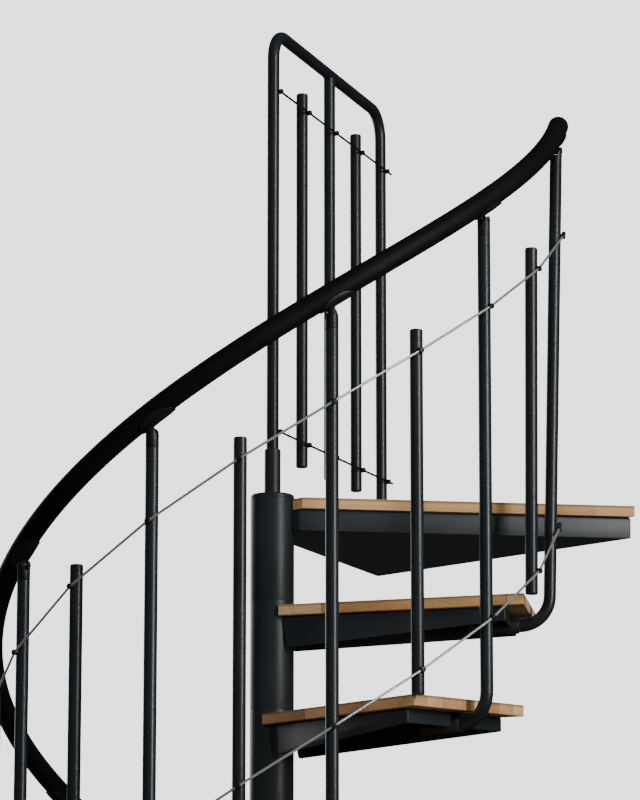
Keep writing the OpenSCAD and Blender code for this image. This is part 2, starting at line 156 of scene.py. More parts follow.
class RailSizes(PropertyGroup):
    """Balusters, handrail, rods, cables and the guard"""

    baluster_out: length("Baluster offset", "Boards' ends out to the balusters' axes", 0.040)
    tube_d: length("Tube", "Diameter of baluster, rod and guard tubes", 0.025)
    foot_bend: length("Foot bend", "Centre-line radius of a foot's bend", 0.060)
    foot_drop: length("Foot drop", "Depth of a foot below its tread", 0.046)
    tube_top: length("Tube top", "Height of a baluster's tube above its tread", 0.895)
    socket_d: length("Socket", "Outer diameter of the foot sockets", 0.031)
    socket_len: length("Socket length", "Length of the foot sockets", 0.100)
    rail_d: length("Handrail", "Diameter of the handrail", 0.042)
    pivot_up: length("Pivot", "Height of the pivot above a tube's top", 0.030)
    rail_tail: length("Tail", "Handrail past its first and last balusters", 0.042)
    end_flare: length("Flare", "Outward spread of the handrail at its top end", 0.025)
    end_lift: length("Lift", "Extra height of the handrail at its top end", 0.010)
    saddle_len: length("Saddle length", "Length of the leaf-shaped saddles", 0.080)
    saddle_t: length("Saddle", "Thickness of the saddles", 0.003)
    saddle_clear: length("Saddle gap", "Gap between saddles and heads", 0.0002)
    pin_d: length("Pin", "Diameter of the pivot pins", 0.006)
    rod_len: length("Rod length", "Length of the rods between balusters", 0.692)
    rod_low: length("Rod foot", "Height of a rod's lower end", 0.106)
    cable_low: length("Lower cable", "Height of the lower cable", 0.152)
    cable_high: length("Upper cable", "Height of the upper cable", 0.755)
    cable_d: length("Cable", "Diameter of the cables", 0.005)
    cable_lay: length("Lay", "Length of one turn of the cables' strands", 0.045)
    clamp_d: length("Clamp", "Diameter of the cable clamps", 0.011)
    guard_heading: turn("Guard heading", "Heading of the guard from the column", 68)
    guard_w: length("Guard width", "Distance between the guard's end posts", 0.656)
    guard_h: length("Guard height", "Top rail's centre above the landing", 0.998)
    guard_bend: length("Guard corners", "Centre-line radius of the corners", 0.060)
    guard_low: length("Guard rods' foot", "Lower ends of rods and middle post", 0.095)
    guard_rod_top: length("Guard rods' top", "Upper ends of the rods", 0.907)
    guard_cable_low: length("Guard lower cable", "Height of the guard's lower cable", 0.142)
    guard_cable_high: length("Guard upper cable", "Height of the guard's upper cable", 0.864)
    sleeve_d: length("Sleeve", "Diameter of the guard's sleeve", 0.033)
    sleeve_h: length("Sleeve height", "Height of the guard's sleeve", 0.094)


class StairFinishes(PropertyGroup):
    """Colours of the finishes"""

    steel: colour("Powder coat", "Anthracite coat of column and pans", (0.019, 0.023, 0.026))
    tube: colour("Tube coat", "Anthracite coat of the tubes", (0.012, 0.015, 0.017))
    fitting: colour("Fittings", "Black moulded fittings", (0.008, 0.0085, 0.009))
    rail: colour("Handrail", "Black handrail cover", (0.004, 0.0043, 0.0047))
    cable: colour("Cable", "Stainless steel cable", (0.50, 0.51, 0.52))
    wood_dark: colour("Dark stave", "Darkest staves", (0.40, 0.205, 0.085))
    wood_mid: colour("Middle stave", "Common staves", (0.60, 0.36, 0.165))
    wood_pale: colour("Pale stave", "Palest staves", (0.74, 0.50, 0.28))
    floor: colour("Floor", "Studio floor", (0.80, 0.80, 0.80))


# ---------------------------------------------------------------- places on the stair


def stair():
    return bpy.context.scene.stair_sizes


def tread():
    return bpy.context.scene.tread_sizes


def rail():
    return bpy.context.scene.rail_sizes


def finishes():
    return bpy.context.scene.stair_finishes


def last_k():
    return stair().treads - 1


def landing_z():
    return (stair().treads + 1) * stair().rise


def baluster_r():
    return tread().board_reach + rail().baluster_out


def nose_r():
    return rail().pin_d / 2 + 5 * MM


def cable_off():
    return rail().tube_d / 2 + rail().cable_d / 2 + 1 * MM


def clamp_half():
    return rail().clamp_d / 2 + 1 * MM


def bend_top():
    return rail().foot_bend - rail().foot_drop


def step_run():
    return baluster_r() * stair().step_turn


def rail_over_pivot():
    r = rail()
    across = r.rail_d / 2 + SADDLE_GAP + r.saddle_t + nose_r() + r.saddle_clear
    return across / math.cos(math.atan(stair().rise / step_run()))


def rail_up():
    return rail().tube_top + rail().pivot_up + rail_over_pivot()


def heading(k):
    return stair().top_heading - k * stair().step_turn


def line_z(k):
    return (stair().treads - k) * stair().rise


def spread(k):
    return ((FLARE_STEPS - k) / FLARE_STEPS) ** 3 if k < FLARE_STEPS else 0.0


def radial(k):
    return polar(1, heading(k))


def lean(k):
    return math.atan(rail().end_flare * spread(k) / (rail_up() - bend_top()))


def rail_at(k):
    """Centre of the handrail"""
    out = baluster_r() + rail().end_flare * spread(k)
    up = line_z(k) + rail_up() + rail().end_lift * spread(k)
    return out * radial(k) + Vector((0, 0, up))


def rail_frame(k):
    """The handrail's own outward, uphill and upward directions"""
    uphill = (rail_at(k - 0.05) - rail_at(k + 0.05)).normalized()
    outward = radial(k)
    outward = (outward - outward.dot(uphill) * uphill).normalized()
    return outward, uphill, outward.cross(uphill)


def tread_place(i):
    """From a tread's own frame, x outward and z up from its top, to its place"""
    return about("Z", heading(stair().treads - i)) @ at(0, 0, i * stair().rise)


def tube_place(k):
    """From a tube's own frame, x outward and z up from its foot's bend, to its place"""
    bend = rail().foot_bend
    middle = at(baluster_r() - bend, 0, line_z(k) + bend_top())
    turned = about("Z", heading(k)) @ middle @ about("Y", lean(k))
    return turned @ at(bend, 0, 0)


def tube_at(k, x, z):
    """The point x outward from a tube's axis and z above its tread line"""
    return tube_place(k) @ Vector((x, 0, z - bend_top()))


def cable_along(k, z):
    off = cable_off()
    return (tube_at(k - 0.5, off, z) - tube_at(k + 0.5, off, z)).normalized()


def guard_place():
    return at(0, 0, landing_z()) @ about("Z", rail().guard_heading)


def at(x, y, z):
    return Matrix.Translation((x, y, z))


def about(axis, angle):
    return Matrix.Rotation(angle, 4, axis)


def polar(radius, angle, z=0.0):
    return Vector((radius * math.cos(angle), radius * math.sin(angle), z))


def facing(place, direction):
    """A frame at place whose z points along direction"""
    turned = Vector(direction).to_track_quat("Z", "Y").to_matrix().to_4x4()
    return Matrix.Translation(place) @ turned


def meet(a, b):
    """Where two lines meet in plan; a line is (heading of its normal, distance from the axis)"""
    det = math.sin(b[0] - a[0])
    return Vector(
        (
            (a[1] * math.sin(b[0]) - b[1] * math.sin(a[0])) / det,
            (b[1] * math.cos(a[0]) - a[1] * math.cos(b[0])) / det,
        )
    )


def landing_plan(side, far):
    """Corners of the landing, set back at its two free edges and at the others"""
    t = tread()
    front_heading = stair().top_heading + stair().step_turn / 2
    middle = (front_heading + rail().guard_heading) / 2
    inner = (middle + 2 * QUARTER, -t.board_start - far)
    front = (front_heading - QUARTER, t.landing_front - side)
    edge = (t.landing_heading, t.landing_reach - far)
    guard = (rail().guard_heading + QUARTER, t.landing_side - side)
    return [meet(inner, front), meet(front, edge), meet(edge, guard), meet(guard, inner)]


# ---------------------------------------------------------------- modelling by hand


def leave_edit():
    if bpy.context.object and bpy.context.object.mode != "OBJECT":
        bpy.ops.object.mode_set(mode="OBJECT")
    bpy.ops.object.select_all(action="DESELECT")


def activate(obj):
    leave_edit()
    obj.select_set(True)
    bpy.context.view_layer.objects.active = obj
    return obj


def edit_all(obj):
    """Opens a mesh in edit mode with all of it selected"""
    activate(obj)
    bpy.ops.object.mode_set(mode="EDIT")
    bpy.ops.mesh.select_all(action="SELECT")


def middle_of(item):
    """Middle of a vertex, edge or face"""
    if isinstance(item, bmesh.types.BMVert):
        return item.co
    return sum((v.co for v in item.verts), Vector()) / len(item.verts)


def pick(obj, kind, test):
    """In edit mode, selects the vertices, edges or faces that pass the test"""
    if obj.mode != "EDIT":
        activate(obj)
        bpy.ops.object.mode_set(mode="EDIT")
    bpy.ops.mesh.select_mode(type=kind)
    bpy.ops.mesh.select_all(action="DESELECT")
    mesh = bmesh.from_edit_mesh(obj.data)
    mesh.normal_update()
    items = {"VERT": mesh.verts, "EDGE": mesh.edges, "FACE": mesh.faces}[kind]
    found = [item for item in items if test(item)]
    if not found:
        raise RuntimeError(f"{obj.name}: no {kind.lower()} passes the test")
    for item in found:
        item.select_set(True)
    mesh.select_flush_mode()
    bmesh.update_edit_mesh(obj.data)


def place_vertices(obj, where):
    """Moves each vertex of a mesh to where(its place)"""
    leave_edit()
    for vertex in obj.data.vertices:
        vertex.co = where(vertex.co.copy())
    obj.data.update()


def apply_modifier(obj, kind, **settings):
    activate(obj)
    modifier = obj.modifiers.new(kind.title(), kind)
    for name, value in settings.items():
        setattr(modifier, name, value)
    bpy.ops.object.modifier_apply(modifier=modifier.name)
    return obj


def soften(obj, width, segments=2, angle=40):
    """Rounds the edges that turn more than angle"""
    return apply_modifier(
        obj,
        "BEVEL",
        width=width,
        segments=segments,
        limit_method="ANGLE",
        angle_limit=math.radians(angle),
        miter_outer="MITER_ARC",
    )


def bevel_edges(obj, test, width, segments=3):
    pick(obj, "EDGE", test)
    bpy.ops.mesh.bevel(offset=width, segments=segments, affect="EDGES")
    leave_edit()
    return obj


def cut(obj, *cutters, operation="DIFFERENCE"):
    for cutter in cutters:
        apply_modifier(obj, "BOOLEAN", operation=operation, solver="EXACT", object=cutter)
        bpy.data.objects.remove(cutter)
    return obj


def outward_normals(obj):
    edit_all(obj)
    bpy.ops.mesh.remove_doubles(threshold=1e-6)
    bpy.ops.mesh.normals_make_consistent(inside=False)
    leave_edit()
    return obj


def join(pieces):
    leave_edit()
    for piece in pieces:
        piece.select_set(True)
    bpy.context.view_layer.objects.active = pieces[0]
    if len(pieces) > 1:
        bpy.ops.object.join()
    return pieces[0]


def moved(obj, place):
    leave_edit()
    obj.data.transform(place)
    obj.data.update()
    return obj


def copy_at(obj, place):
    twin = obj.copy()
    twin.data = obj.data.copy()
    bpy.context.scene.collection.objects.link(twin)
    return moved(twin, place)


def scatter(obj, places):
    """One copy of obj at each place, all joined; obj itself goes"""
    twins = [copy_at(obj, place) for place in places]
    bpy.data.objects.remove(obj)
    return join(twins)


def upright(edge):
    return abs(edge.verts[0].co.z - edge.verts[1].co.z) > 1e-3


def on_rim(radius, z):
    """Test for edges on a circle about the z axis"""
    return lambda e: all(
        abs(v.co.z - z) < 1e-5 and abs(v.co.xy.length - radius) < 1e-4 for v in e.verts
    )


def cylinder(radius, low, high, sides=48, ease=0.0, segments=2):
    """A cylinder about the z axis with eased rims"""
    leave_edit()
    bpy.ops.mesh.primitive_cylinder_add(
        vertices=sides, radius=radius, depth=high - low, location=(0, 0, (low + high) / 2)
    )
    obj = bpy.context.object
    bpy.ops.object.transform_apply(location=True, rotation=True, scale=True)
    if ease:
        for z in (low, high):
            bevel_edges(obj, on_rim(radius, z), ease, segments)
    return obj


def hollow(obj, z, wall, depth):
    """Sinks a hole into the end at z, leaving a wall round it"""
    pick(obj, "FACE", lambda f: abs(f.normal.z) > 0.99 and abs(middle_of(f).z - z) < 1e-5)
    bpy.ops.mesh.inset(thickness=wall, depth=0)
    bpy.ops.mesh.extrude_region_move(TRANSFORM_OT_translate={"value": (0, 0, depth)})
    leave_edit()
    return obj


def block(low, high, ease=0.0, segments=2):
    """A box between two corners with eased edges"""
    leave_edit()
    bpy.ops.mesh.primitive_cube_add(size=1)
    obj = bpy.context.object
    low, high = Vector(low), Vector(high)
    place_vertices(obj, lambda co: Vector([(low, high)[co[n] > 0][n] for n in range(3)]))
    return soften(obj, ease, segments) if ease else obj


def corner_of(plan, co):
    """The corner of a four-cornered plan that a unit square's corner stands for"""
    if co.y > 0:
        return plan[2 if co.x > 0 else 3]
    return plan[1 if co.x > 0 else 0]


def prism(plan, low, high):
    """A solid with a four-cornered plan"""
    leave_edit()
    bpy.ops.mesh.primitive_cube_add(size=1)
    obj = bpy.context.object
    place_vertices(obj, lambda co: Vector((*corner_of(plan, co), high if co.z > 0 else low)))
    return outward_normals(obj)


def tube_run(start, moves, radius, sides=40):
    """A tube drawn from its first end: a move is a straight (vector) or a bend
    (centre, axis, angle). Ends are closed."""
    leave_edit()
    bpy.ops.mesh.primitive_circle_add(vertices=sides, radius=radius, fill_type="NOTHING")
    obj = moved(bpy.context.object, start)
    first = start.translation.copy()
    here = first.copy()
    activate(obj)
    bpy.ops.object.mode_set(mode="EDIT")
    bpy.ops.mesh.select_mode(type="EDGE")
    bpy.ops.mesh.select_all(action="SELECT")
    for move in moves:
        if len(move) == 1:
            bpy.ops.mesh.extrude_region_move(TRANSFORM_OT_translate={"value": tuple(move[0])})
            here = here + Vector(move[0])
        else:
            centre, axis, angle = move
            steps = max(6, round(abs(math.degrees(angle)) / 6))
            bpy.ops.mesh.spin(steps=steps, angle=-angle, center=centre, axis=axis)
            turned = Matrix.Rotation(angle, 3, Vector(axis))
            here = Vector(centre) + turned @ (here - Vector(centre))
        mesh = bmesh.from_edit_mesh(obj.data)
        ring = [v.co for v in mesh.verts if v.select]
        if (sum(ring, Vector()) / len(ring) - here).length > 1e-4:
            raise RuntimeError("the tube's end isn't where its moves lead")
    bpy.ops.mesh.select_all(action="SELECT")
    bpy.ops.mesh.fill_holes(sides=0)
    leave_edit()
    return outward_normals(obj)


def line_through(points, dimensions):
    """A curve with one straight-edged line through points"""
    bpy.ops.curve.primitive_nurbs_path_add()
    obj = bpy.context.object
    obj.location = (0, 0, 0)
    obj.data.splines.clear()
    obj.data.dimensions = dimensions
    line = obj.data.splines.new("POLY")
    line.points.add(len(points) - 1)
    for n, point in enumerate(points):
        line.points[n].co = (*point, 1)
    return obj, line


def sweep(points, radius, resolution=6, radii=None, tilts=None, section=None):
    """A closed tube along points; section is a flat outline instead of a circle"""
    leave_edit()
    obj, line = line_through(points, "3D")
    path = obj.data
    path.twist_mode = "MINIMUM"
    for n, point in enumerate(line.points):
        if radii:
            point.radius = radii[n]
        if tilts:
            point.tilt = tilts[n]
    outline = None
    if section:
        outline, flat = line_through([(x, y, 0) for x, y in section], "2D")
        flat.use_cyclic_u = True
        path.bevel_mode = "OBJECT"
        path.bevel_object = outline
    else:
        path.bevel_depth = radius
        path.bevel_resolution = resolution
    path.use_fill_caps = True
    activate(obj)
    bpy.ops.object.convert(target="MESH")
    obj = bpy.context.object
    if outline:
        bpy.data.objects.remove(outline)
    return outward_normals(obj)


def weld(points, size=2.0 * MM):
    """A rippled weld bead along points"""
    points = resample(points, 1.3 * MM)
    radii = [1.0 + 0.13 * (n % 2) for n in range(len(points))]
    return sweep(points, size, 2, radii)


def resample(points, step):
    """Points at even spacing along a line"""
    ends = [0.0]
    for a, b in zip(points, points[1:]):
        ends.append(ends[-1] + (b - a).length)
    count = max(2, round(ends[-1] / step))
    out, n = [], 0
    for i in range(count + 1):
        s = ends[-1] * i / count
        while n < len(points) - 2 and ends[n + 1] < s:
            n += 1
        share = (s - ends[n]) / (ends[n + 1] - ends[n])
        out.append(points[n].lerp(points[n + 1], share))
    return out


def set_screw(radius=3.0 * MM, high=1.0 * MM):
    """A round screw end with a six-sided socket; it sits on z = 0"""
    obj = cylinder(radius, -1.5 * MM, high, 24, 0.4 * MM)
    bpy.ops.mesh.primitive_cylinder_add(
        vertices=6, radius=radius * 0.55, depth=2 * MM, location=(0, 0, high + 0.1 * MM)
    )
    socket = bpy.context.object
    bpy.ops.object.transform_apply(location=True)
    return cut(obj, socket)


def deliver(obj, name, paint, slot, *nodes, angle=35):
    """Names, shades and paints a finished piece and gives it its place in the frame"""
    activate(obj)
    bpy.ops.object.shade_smooth_by_angle(angle=math.radians(angle))
    obj.name = name
    obj.data.name = name
    obj.data.materials.clear()
    obj.data.materials.append(finish(paint))
    leave_edit()
    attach(obj, BODY)
    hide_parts(*nodes)
    return obj


# ---------------------------------------------------------------- finishes


class Shader:
    """A new material's nodes, wired from left to right"""

    def __init__(self, name):
        self.material = bpy.data.materials.new(name)
        self.material.use_nodes = True
        self.tree = self.material.node_tree
        self.surface = self.tree.nodes["Principled BSDF"]

    def node(self, kind, links=None, **settings):
        made = self.tree.nodes.new("ShaderNode" + kind)
        for name, value in settings.items():
            if name.startswith("in_"):
                made.inputs[int(name[3:])].default_value = value
            else:
                setattr(made, name, value)
        for place, source in (links or {}).items():
            self.tree.links.new(source, made.inputs[place])
        return made

    def maths(self, operation, a, b=None):
        made = self.node("Math", operation=operation)
        for n, value in enumerate((a, b)):
            if value is None:
                continue
            if isinstance(value, (int, float)):
                made.inputs[n].default_value = value
            else:
                self.tree.links.new(value, made.inputs[n])
        return made.outputs[0]

    def noise(self, vector, scale, detail=3.0, rough=0.5):
        made = self.node("TexNoise", {"Vector": vector})
        made.inputs["Scale"].default_value = scale
        made.inputs["Detail"].default_value = detail
        made.inputs["Roughness"].default_value = rough
        return made.outputs[0]

    def spanned(self, value, low, high, to_low, to_high):
        made = self.node("MapRange", {"Value": value})
        for name, number in (
            ("From Min", low),
            ("From Max", high),
            ("To Min", to_low),
            ("To Max", to_high),
        ):
            made.inputs[name].default_value = number
        return made.outputs[0]

    def ramp(self, value, stops):
        made = self.node("ValToRGB", {"Fac": value})
        elements = made.color_ramp.elements
        while len(elements) < len(stops):
            elements.new(0.5)
        for element, (position, tint) in zip(elements, stops):
            element.position = position
            element.color = (*tint, 1)
        return made.outputs[0]

    def bump(self, height, strength, distance, below=None):
        links = {"Height": height}
        if below:
            links["Normal"] = below
        made = self.node("Bump", links)
        made.inputs["Strength"].default_value = strength
        made.inputs["Distance"].default_value = distance
        return made.outputs[0]

    def wire(self, source, name):
        self.tree.links.new(source, self.surface.inputs[name])


def shade(tint, share):
    return tuple(min(1.0, c * share) for c in tint)


def powder_coat(name, tint, rough, specular):
    """Satin powder coat: a fine orange-peel grain and slow cloudy variation"""
    s = Shader(name)
    place = s.node("TexCoord").outputs["Object"]
    cloud = s.noise(place, 7, 4, 0.6)
    s.wire(s.ramp(cloud, [(0.3, shade(tint, 0.86)), (0.7, shade(tint, 1.16))]), "Base Color")
    speck = s.noise(place, 420, 2, 0.6)
    both = s.maths("ADD", s.maths("MULTIPLY", cloud, 0.4), s.maths("MULTIPLY", speck, 0.6))
    s.wire(s.spanned(both, 0.3, 0.7, rough - 0.05, rough + 0.06), "Roughness")
    peel = s.noise(place, 900, 2, 0.55)
    grain = s.noise(place, 3200, 1, 0.5)
    s.wire(s.bump(grain, 0.05, 0.00006, s.bump(peel, 0.12, 0.0001)), "Normal")
    s.surface.inputs["Specular IOR Level"].default_value = specular
    return s.material


def moulded_black(name, tint, rough, grain_scale, specular):
    """Matte black moulding with a leathery micro grain"""
    s = Shader(name)
    place = s.node("TexCoord").outputs["Object"]
    cloud = s.noise(place, 11, 3, 0.5)
    s.wire(s.ramp(cloud, [(0.3, shade(tint, 0.8)), (0.7, shade(tint, 1.25))]), "Base Color")
    patches = s.noise(place, 160, 3, 0.6)
    s.wire(s.spanned(patches, 0.3, 0.7, rough - 0.06, rough + 0.06), "Roughness")
    cells = s.node("TexVoronoi", {"Vector": place}, feature="F1")
    cells.inputs["Scale"].default_value = grain_scale
    fine = s.noise(place, grain_scale * 2.6, 2, 0.5)
    s.wire(s.bump(fine, 0.1, 0.00006, s.bump(cells.outputs[0], 0.14, 0.0001)), "Normal")
    s.surface.inputs["Specular IOR Level"].default_value = specular
    return s.material


def wire_rope(name, tint):
    """Stainless wire strands with drawn lines and a slightly uneven shine"""
    s = Shader(name)
    place = s.node("TexCoord").outputs["Object"]
    drawn = s.noise(place, 1500, 3, 0.7)
    s.wire(s.ramp(drawn, [(0.3, shade(tint, 0.72)), (0.65, tint)]), "Base Color")
    s.wire(s.spanned(s.noise(place, 240, 2, 0.5), 0.3, 0.7, 0.34, 0.50), "Roughness")
    s.wire(s.bump(drawn, 0.10, 0.00004), "Normal")
    s.surface.inputs["Metallic"].default_value = 0.65
    return s.material


def staved_wood(name):
    """Finger-jointed beech staves under a satin lacquer. grain_place holds each point's
    place on its own board: x along the staves, y across them, z up."""
    f, t = finishes(), tread()
    s = Shader(name)
    place = s.node("Attribute", attribute_name="grain_place").outputs["Vector"]
    axes = s.node("SeparateXYZ", {0: place}).outputs
    rows = s.maths("DIVIDE", axes[1], t.stave_w)
    row = s.maths("FLOOR", rows)
    row_shift = s.node("TexWhiteNoise", {"W": row}, noise_dimensions="1D").outputs[0]
    finger = s.maths("MULTIPLY", s.maths("PINGPONG", axes[1], 0.0035), 2.4)
    along = s.maths("ADD", s.maths("MULTIPLY", row_shift, t.stave_l * 2), axes[0])
    cells = s.maths("DIVIDE", s.maths("ADD", along, finger), t.stave_l)
    cell = s.maths("FLOOR", cells)
    stave = s.node("CombineXYZ", {0: row, 1: cell}).outputs[0]
    random = s.node("TexWhiteNoise", {"Vector": stave}, noise_dimensions="3D")
    tone = s.ramp(
        random.outputs[0],
        [
            (0.0, f.wood_dark),
            (0.22, [(a + b) / 2 for a, b in zip(f.wood_dark, f.wood_mid)]),
            (0.6, f.wood_mid),
            (1.0, f.wood_pale),
        ],
    )
    jump = s.node("VectorMath", {0: random.outputs[1]}, operation="SCALE")
    jump.inputs["Scale"].default_value = 3.0
    own = s.node("VectorMath", {0: place, 1: jump.outputs[0]}, operation="ADD").outputs[0]

    def stretched(size):
        return s.node("Mapping", {"Vector": own}, in_3=size).outputs[0]

    figure = s.noise(stretched((1.6, 22, 22)), 1, 4, 0.55)
    lines = s.noise(stretched((5, 260, 260)), 1, 4, 0.65)
    fleck = s.noise(stretched((150, 1500, 1500)), 1, 2, 0.5)
    darker = s.maths(
        "MULTIPLY",
        s.spanned(figure, 0.32, 0.68, 0.80, 1.10),
        s.maths(
            "MULTIPLY",
            s.spanned(lines, 0.3, 0.7, 0.80, 1.10),
            s.spanned(fleck, 0.60, 0.68, 1.0, 0.78),
        ),
    )

    def near_line(cell_share, width):
        share = s.maths("FRACT", cell_share)
        nearest = s.maths("MINIMUM", share, s.maths("SUBTRACT", 1.0, share))
        return s.spanned(nearest, width * 0.4, width, 1.0, 0.0)

    glue = s.maths("MAXIMUM", near_line(rows, 0.012), near_line(cells, 0.0016))
    # Painted shade: faces within about 3 mm of a board's top that don't face up (its rounded top
    # edge) are darkened by up to half, fading out by 6 mm down, standing in for the shade that
    # falls on the rounding.
    upward = s.node("SeparateXYZ", {0: s.node("NewGeometry").outputs["Normal"]}).outputs[2]
    rim = s.maths(
        "MULTIPLY", s.spanned(axes[2], -0.0058, -0.003, 0, 1), s.spanned(upward, 0.9, 0.98, 1, 0)
    )
    edge_shaded_grain = s.maths("MULTIPLY", darker, s.spanned(rim, 0, 1, 1.0, 0.5))
    shown = s.maths("MULTIPLY", edge_shaded_grain, s.spanned(glue, 0, 1, 1.0, 0.62))
    tinted = s.node("VectorMath", {0: tone, 1: shown}, operation="MULTIPLY").outputs[0]
    s.wire(tinted, "Base Color")
    s.wire(s.spanned(lines, 0.3, 0.7, 0.50, 0.66), "Roughness")
    fine = s.bump(lines, 0.22, 0.00018)
    pores = s.bump(fleck, 0.12, 0.00010, fine)
    s.wire(s.bump(glue, -0.3, 0.00012, pores), "Normal")
    s.surface.inputs["Specular IOR Level"].default_value = 0.14
    s.surface.inputs["Coat Weight"].default_value = 0.02
    s.surface.inputs["Coat Roughness"].default_value = 0.45
    return s.material


def finish(name):
    """The named finish, made once"""
    if name not in bpy.data.materials:
        f = finishes()
        make, *settings = {
            "powder_coat": (powder_coat, f.steel, 0.40, 0.42),
            "tube_coat": (powder_coat, f.tube, 0.34, 0.45),
            "moulded_fitting": (moulded_black, f.fitting, 0.42, 1400, 0.35),
            "rail_cover": (moulded_black, f.rail, 0.60, 900, 0.12),
            "black_wire": (moulded_black, f.fitting, 0.38, 2200, 0.35),
            "wire_rope": (wire_rope, f.cable),
            "staved_beech": (staved_wood,),
        }[name]
        make(name, *settings)
    return bpy.data.materials[name]


# ---------------------------------------------------------------- column and treads


class STAIR_OT_base_flange(Operator):
    """Base flange with its anchor holes and the collar inside the lowest hub tube"""

    bl_idname = "stair.base_flange"
    bl_label = "Base Flange"

    def execute(self, context):
        s = stair()
        flange = cylinder(s.base_d / 2, 0, s.base_t, 128, 1.2 * MM, 3)
        for n in range(4):
            hole = cylinder(s.anchor_d / 2, -s.base_t, 2 * s.base_t, 32)
            angle = math.radians(45 + 90 * n)
            cut(flange, moved(hole, at(*polar(s.anchor_circle_d / 2, angle))))
        soften(flange, SHARP, 2, 60)
        radius = s.column_d / 2 - s.column_wall - 0.3 * MM
        collar = cylinder(radius, s.base_t - 1 * MM, s.base_t + s.collar_h, 96, 0.8 * MM)
        hollow(collar, s.base_t + s.collar_h, s.column_wall - 0.8 * MM, -s.collar_h)
        piece = join([flange, collar])
        deliver(piece, "base_plate", "powder_coat", "coated_steel", "base_flange")
        return {"FINISHED"}


def hub_tube(low, high, ease=1.0 * MM):
    s = stair()
    hub = cylinder(s.column_d / 2, low, high, 96, ease, 3)
    hollow(hub, high, s.column_wall - ease, -0.03)
    return hollow(hub, low, s.column_wall - ease, 0.03)


def column_core(radius):
    return cylinder(radius, -1, 1, 128)


def folded_pan(obj, folds, thickness):
    """Rounds a flat pan's folds and gives it its sheet thickness, inward"""
    pick(obj, "FACE", lambda f: True)
    bpy.ops.mesh.normals_make_consistent(inside=False)
    leave_edit()
    top = max(obj.data.polygons, key=lambda p: p.center.z)
    if top.normal.z < 0:
        edit_all(obj)
        bpy.ops.mesh.flip_normals()
    bevel_edges(obj, folds, thickness * 1.5, 4)
    apply_modifier(obj, "SOLIDIFY", thickness=thickness, offset=-1, use_even_offset=True)
    return soften(obj, SHARP, 2, 60)


def hub_weld(middle, reach):
    """Weld between a pan's underside and its hub, reach degrees to both sides of middle"""
    radius, z = stair().column_d / 2 + SEAM, -tread().sheet_t - 0.4 * MM
    angles = [middle + math.radians(d) for d in range(-reach, reach + 1, 4)]
    return weld([polar(radius, a, z) for a in angles])


def board_screws(spots):
    """Screws under a pan, at the given places in plan"""
    screw = moved(set_screw(*BOARD_SCREW), about("X", math.pi))
    return scatter(screw, [at(x, y, -tread().sheet_t) for x, y in spots])


def tread_pan():
    """Sheet pan under a tread: a flat top with two side flanges and an end flange"""
    s, t = stair(), tread()
    taper = (t.board_w_out - t.board_w_in) / 2 / (t.board_reach - t.board_start)
    x_in, x_out = t.board_start + 6 * MM, t.board_reach - t.pan_end

    def half(x):
        return t.board_w_in / 2 + (x - t.board_start) * taper - t.pan_side

    leave_edit()
    bpy.ops.mesh.primitive_plane_add(size=1)
    pan = bpy.context.object

    def top_corner(co):
        x = x_out if co.x > 0 else x_in
        return Vector((x, math.copysign(half(x), co.y), 0))

    place_vertices(pan, top_corner)
    pick(pan, "EDGE", lambda e: middle_of(e).x > x_in + 1e-4)
    bpy.ops.mesh.extrude_region_move(TRANSFORM_OT_translate={"value": (0, 0, -t.pan_shallow)})

    def low_corner(co):
        if co.z > -1e-4 or co.x > x_in + 1e-3:
            return co
        x = x_in + t.pan_undercut
        return Vector((x, math.copysign(half(x), co.y), -t.pan_deep))

    place_vertices(pan, low_corner)
    pick(pan, "VERT", lambda v: v.co.z < -t.pan_shallow - 1e-3)
    bpy.ops.mesh.bevel(offset=5 * MM, segments=4, affect="VERTICES")
    leave_edit()

    def fold(e):
        a, b = (v.co for v in e.verts)
        flat = abs(a.z) < 1e-5 and abs(b.z) < 1e-5 and (a.x > x_in + 1e-4 or b.x > x_in + 1e-4)
        outer = abs(a.x - x_out) < 1e-5 and abs(b.x - x_out) < 1e-5 and upright(e)
        return flat or outer

    folded_pan(pan, fold, t.sheet_t)
    cut(pan, column_core(s.column_d / 2 - 1 * MM))
    screws = board_screws([(x, y * side) for x, y in TREAD_SCREWS for side in (-1, 1)])
    return join([pan, hub_weld(0, 50), screws])


def foot_socket():
    """Socket for a baluster's foot, in the tube's own frame"""
    r = rail()
    socket = cylinder(r.socket_d / 2, 0, r.socket_len, 48, 1.2 * MM, 3)
    hollow(socket, r.socket_len, r.socket_d / 2 - r.tube_d / 2 - 1.4 * MM, 2 * MM - r.socket_len)
    along = at(-r.foot_bend - r.socket_len, 0, -r.foot_bend)
    moved(socket, along @ about("Y", QUARTER))
    spots = [-r.foot_bend - r.socket_len * share for share in (0.22, 0.72)]
    under = about("X", math.pi)
    bottom = -r.foot_bend - r.socket_d / 2
    screws = scatter(set_screw(), [at(x, 0, bottom) @ under for x in spots])
    return join([socket, screws])


def socket_web():
    """Plate that hangs the socket from the pan, with its welds"""
    t, r = tread(), rail()
    start = baluster_r() - r.foot_bend - r.socket_len + 4 * MM
    end = t.board_reach - t.pan_end - t.sheet_t / 2
    top = -t.board_t - 1 * MM
    plate = block((start, -t.sheet_t, -r.foot_drop), (end, t.sheet_t, top), 0.6 * MM)
    beads = []
    drop = math.sqrt((r.socket_d / 2 + 0.4 * MM) ** 2 - (t.sheet_t + 0.8 * MM) ** 2)
    for side in (-1, 1):
        y = side * (t.sheet_t + 0.8 * MM)
        z = -r.foot_drop + drop
        if z < -t.board_t - t.sheet_t:
            line = [Vector((x, y, z)) for x in (start + 2 * MM, end - 2 * MM)]
            beads.append(weld(line, SMALL_WELD))
    return join([plate] + beads)


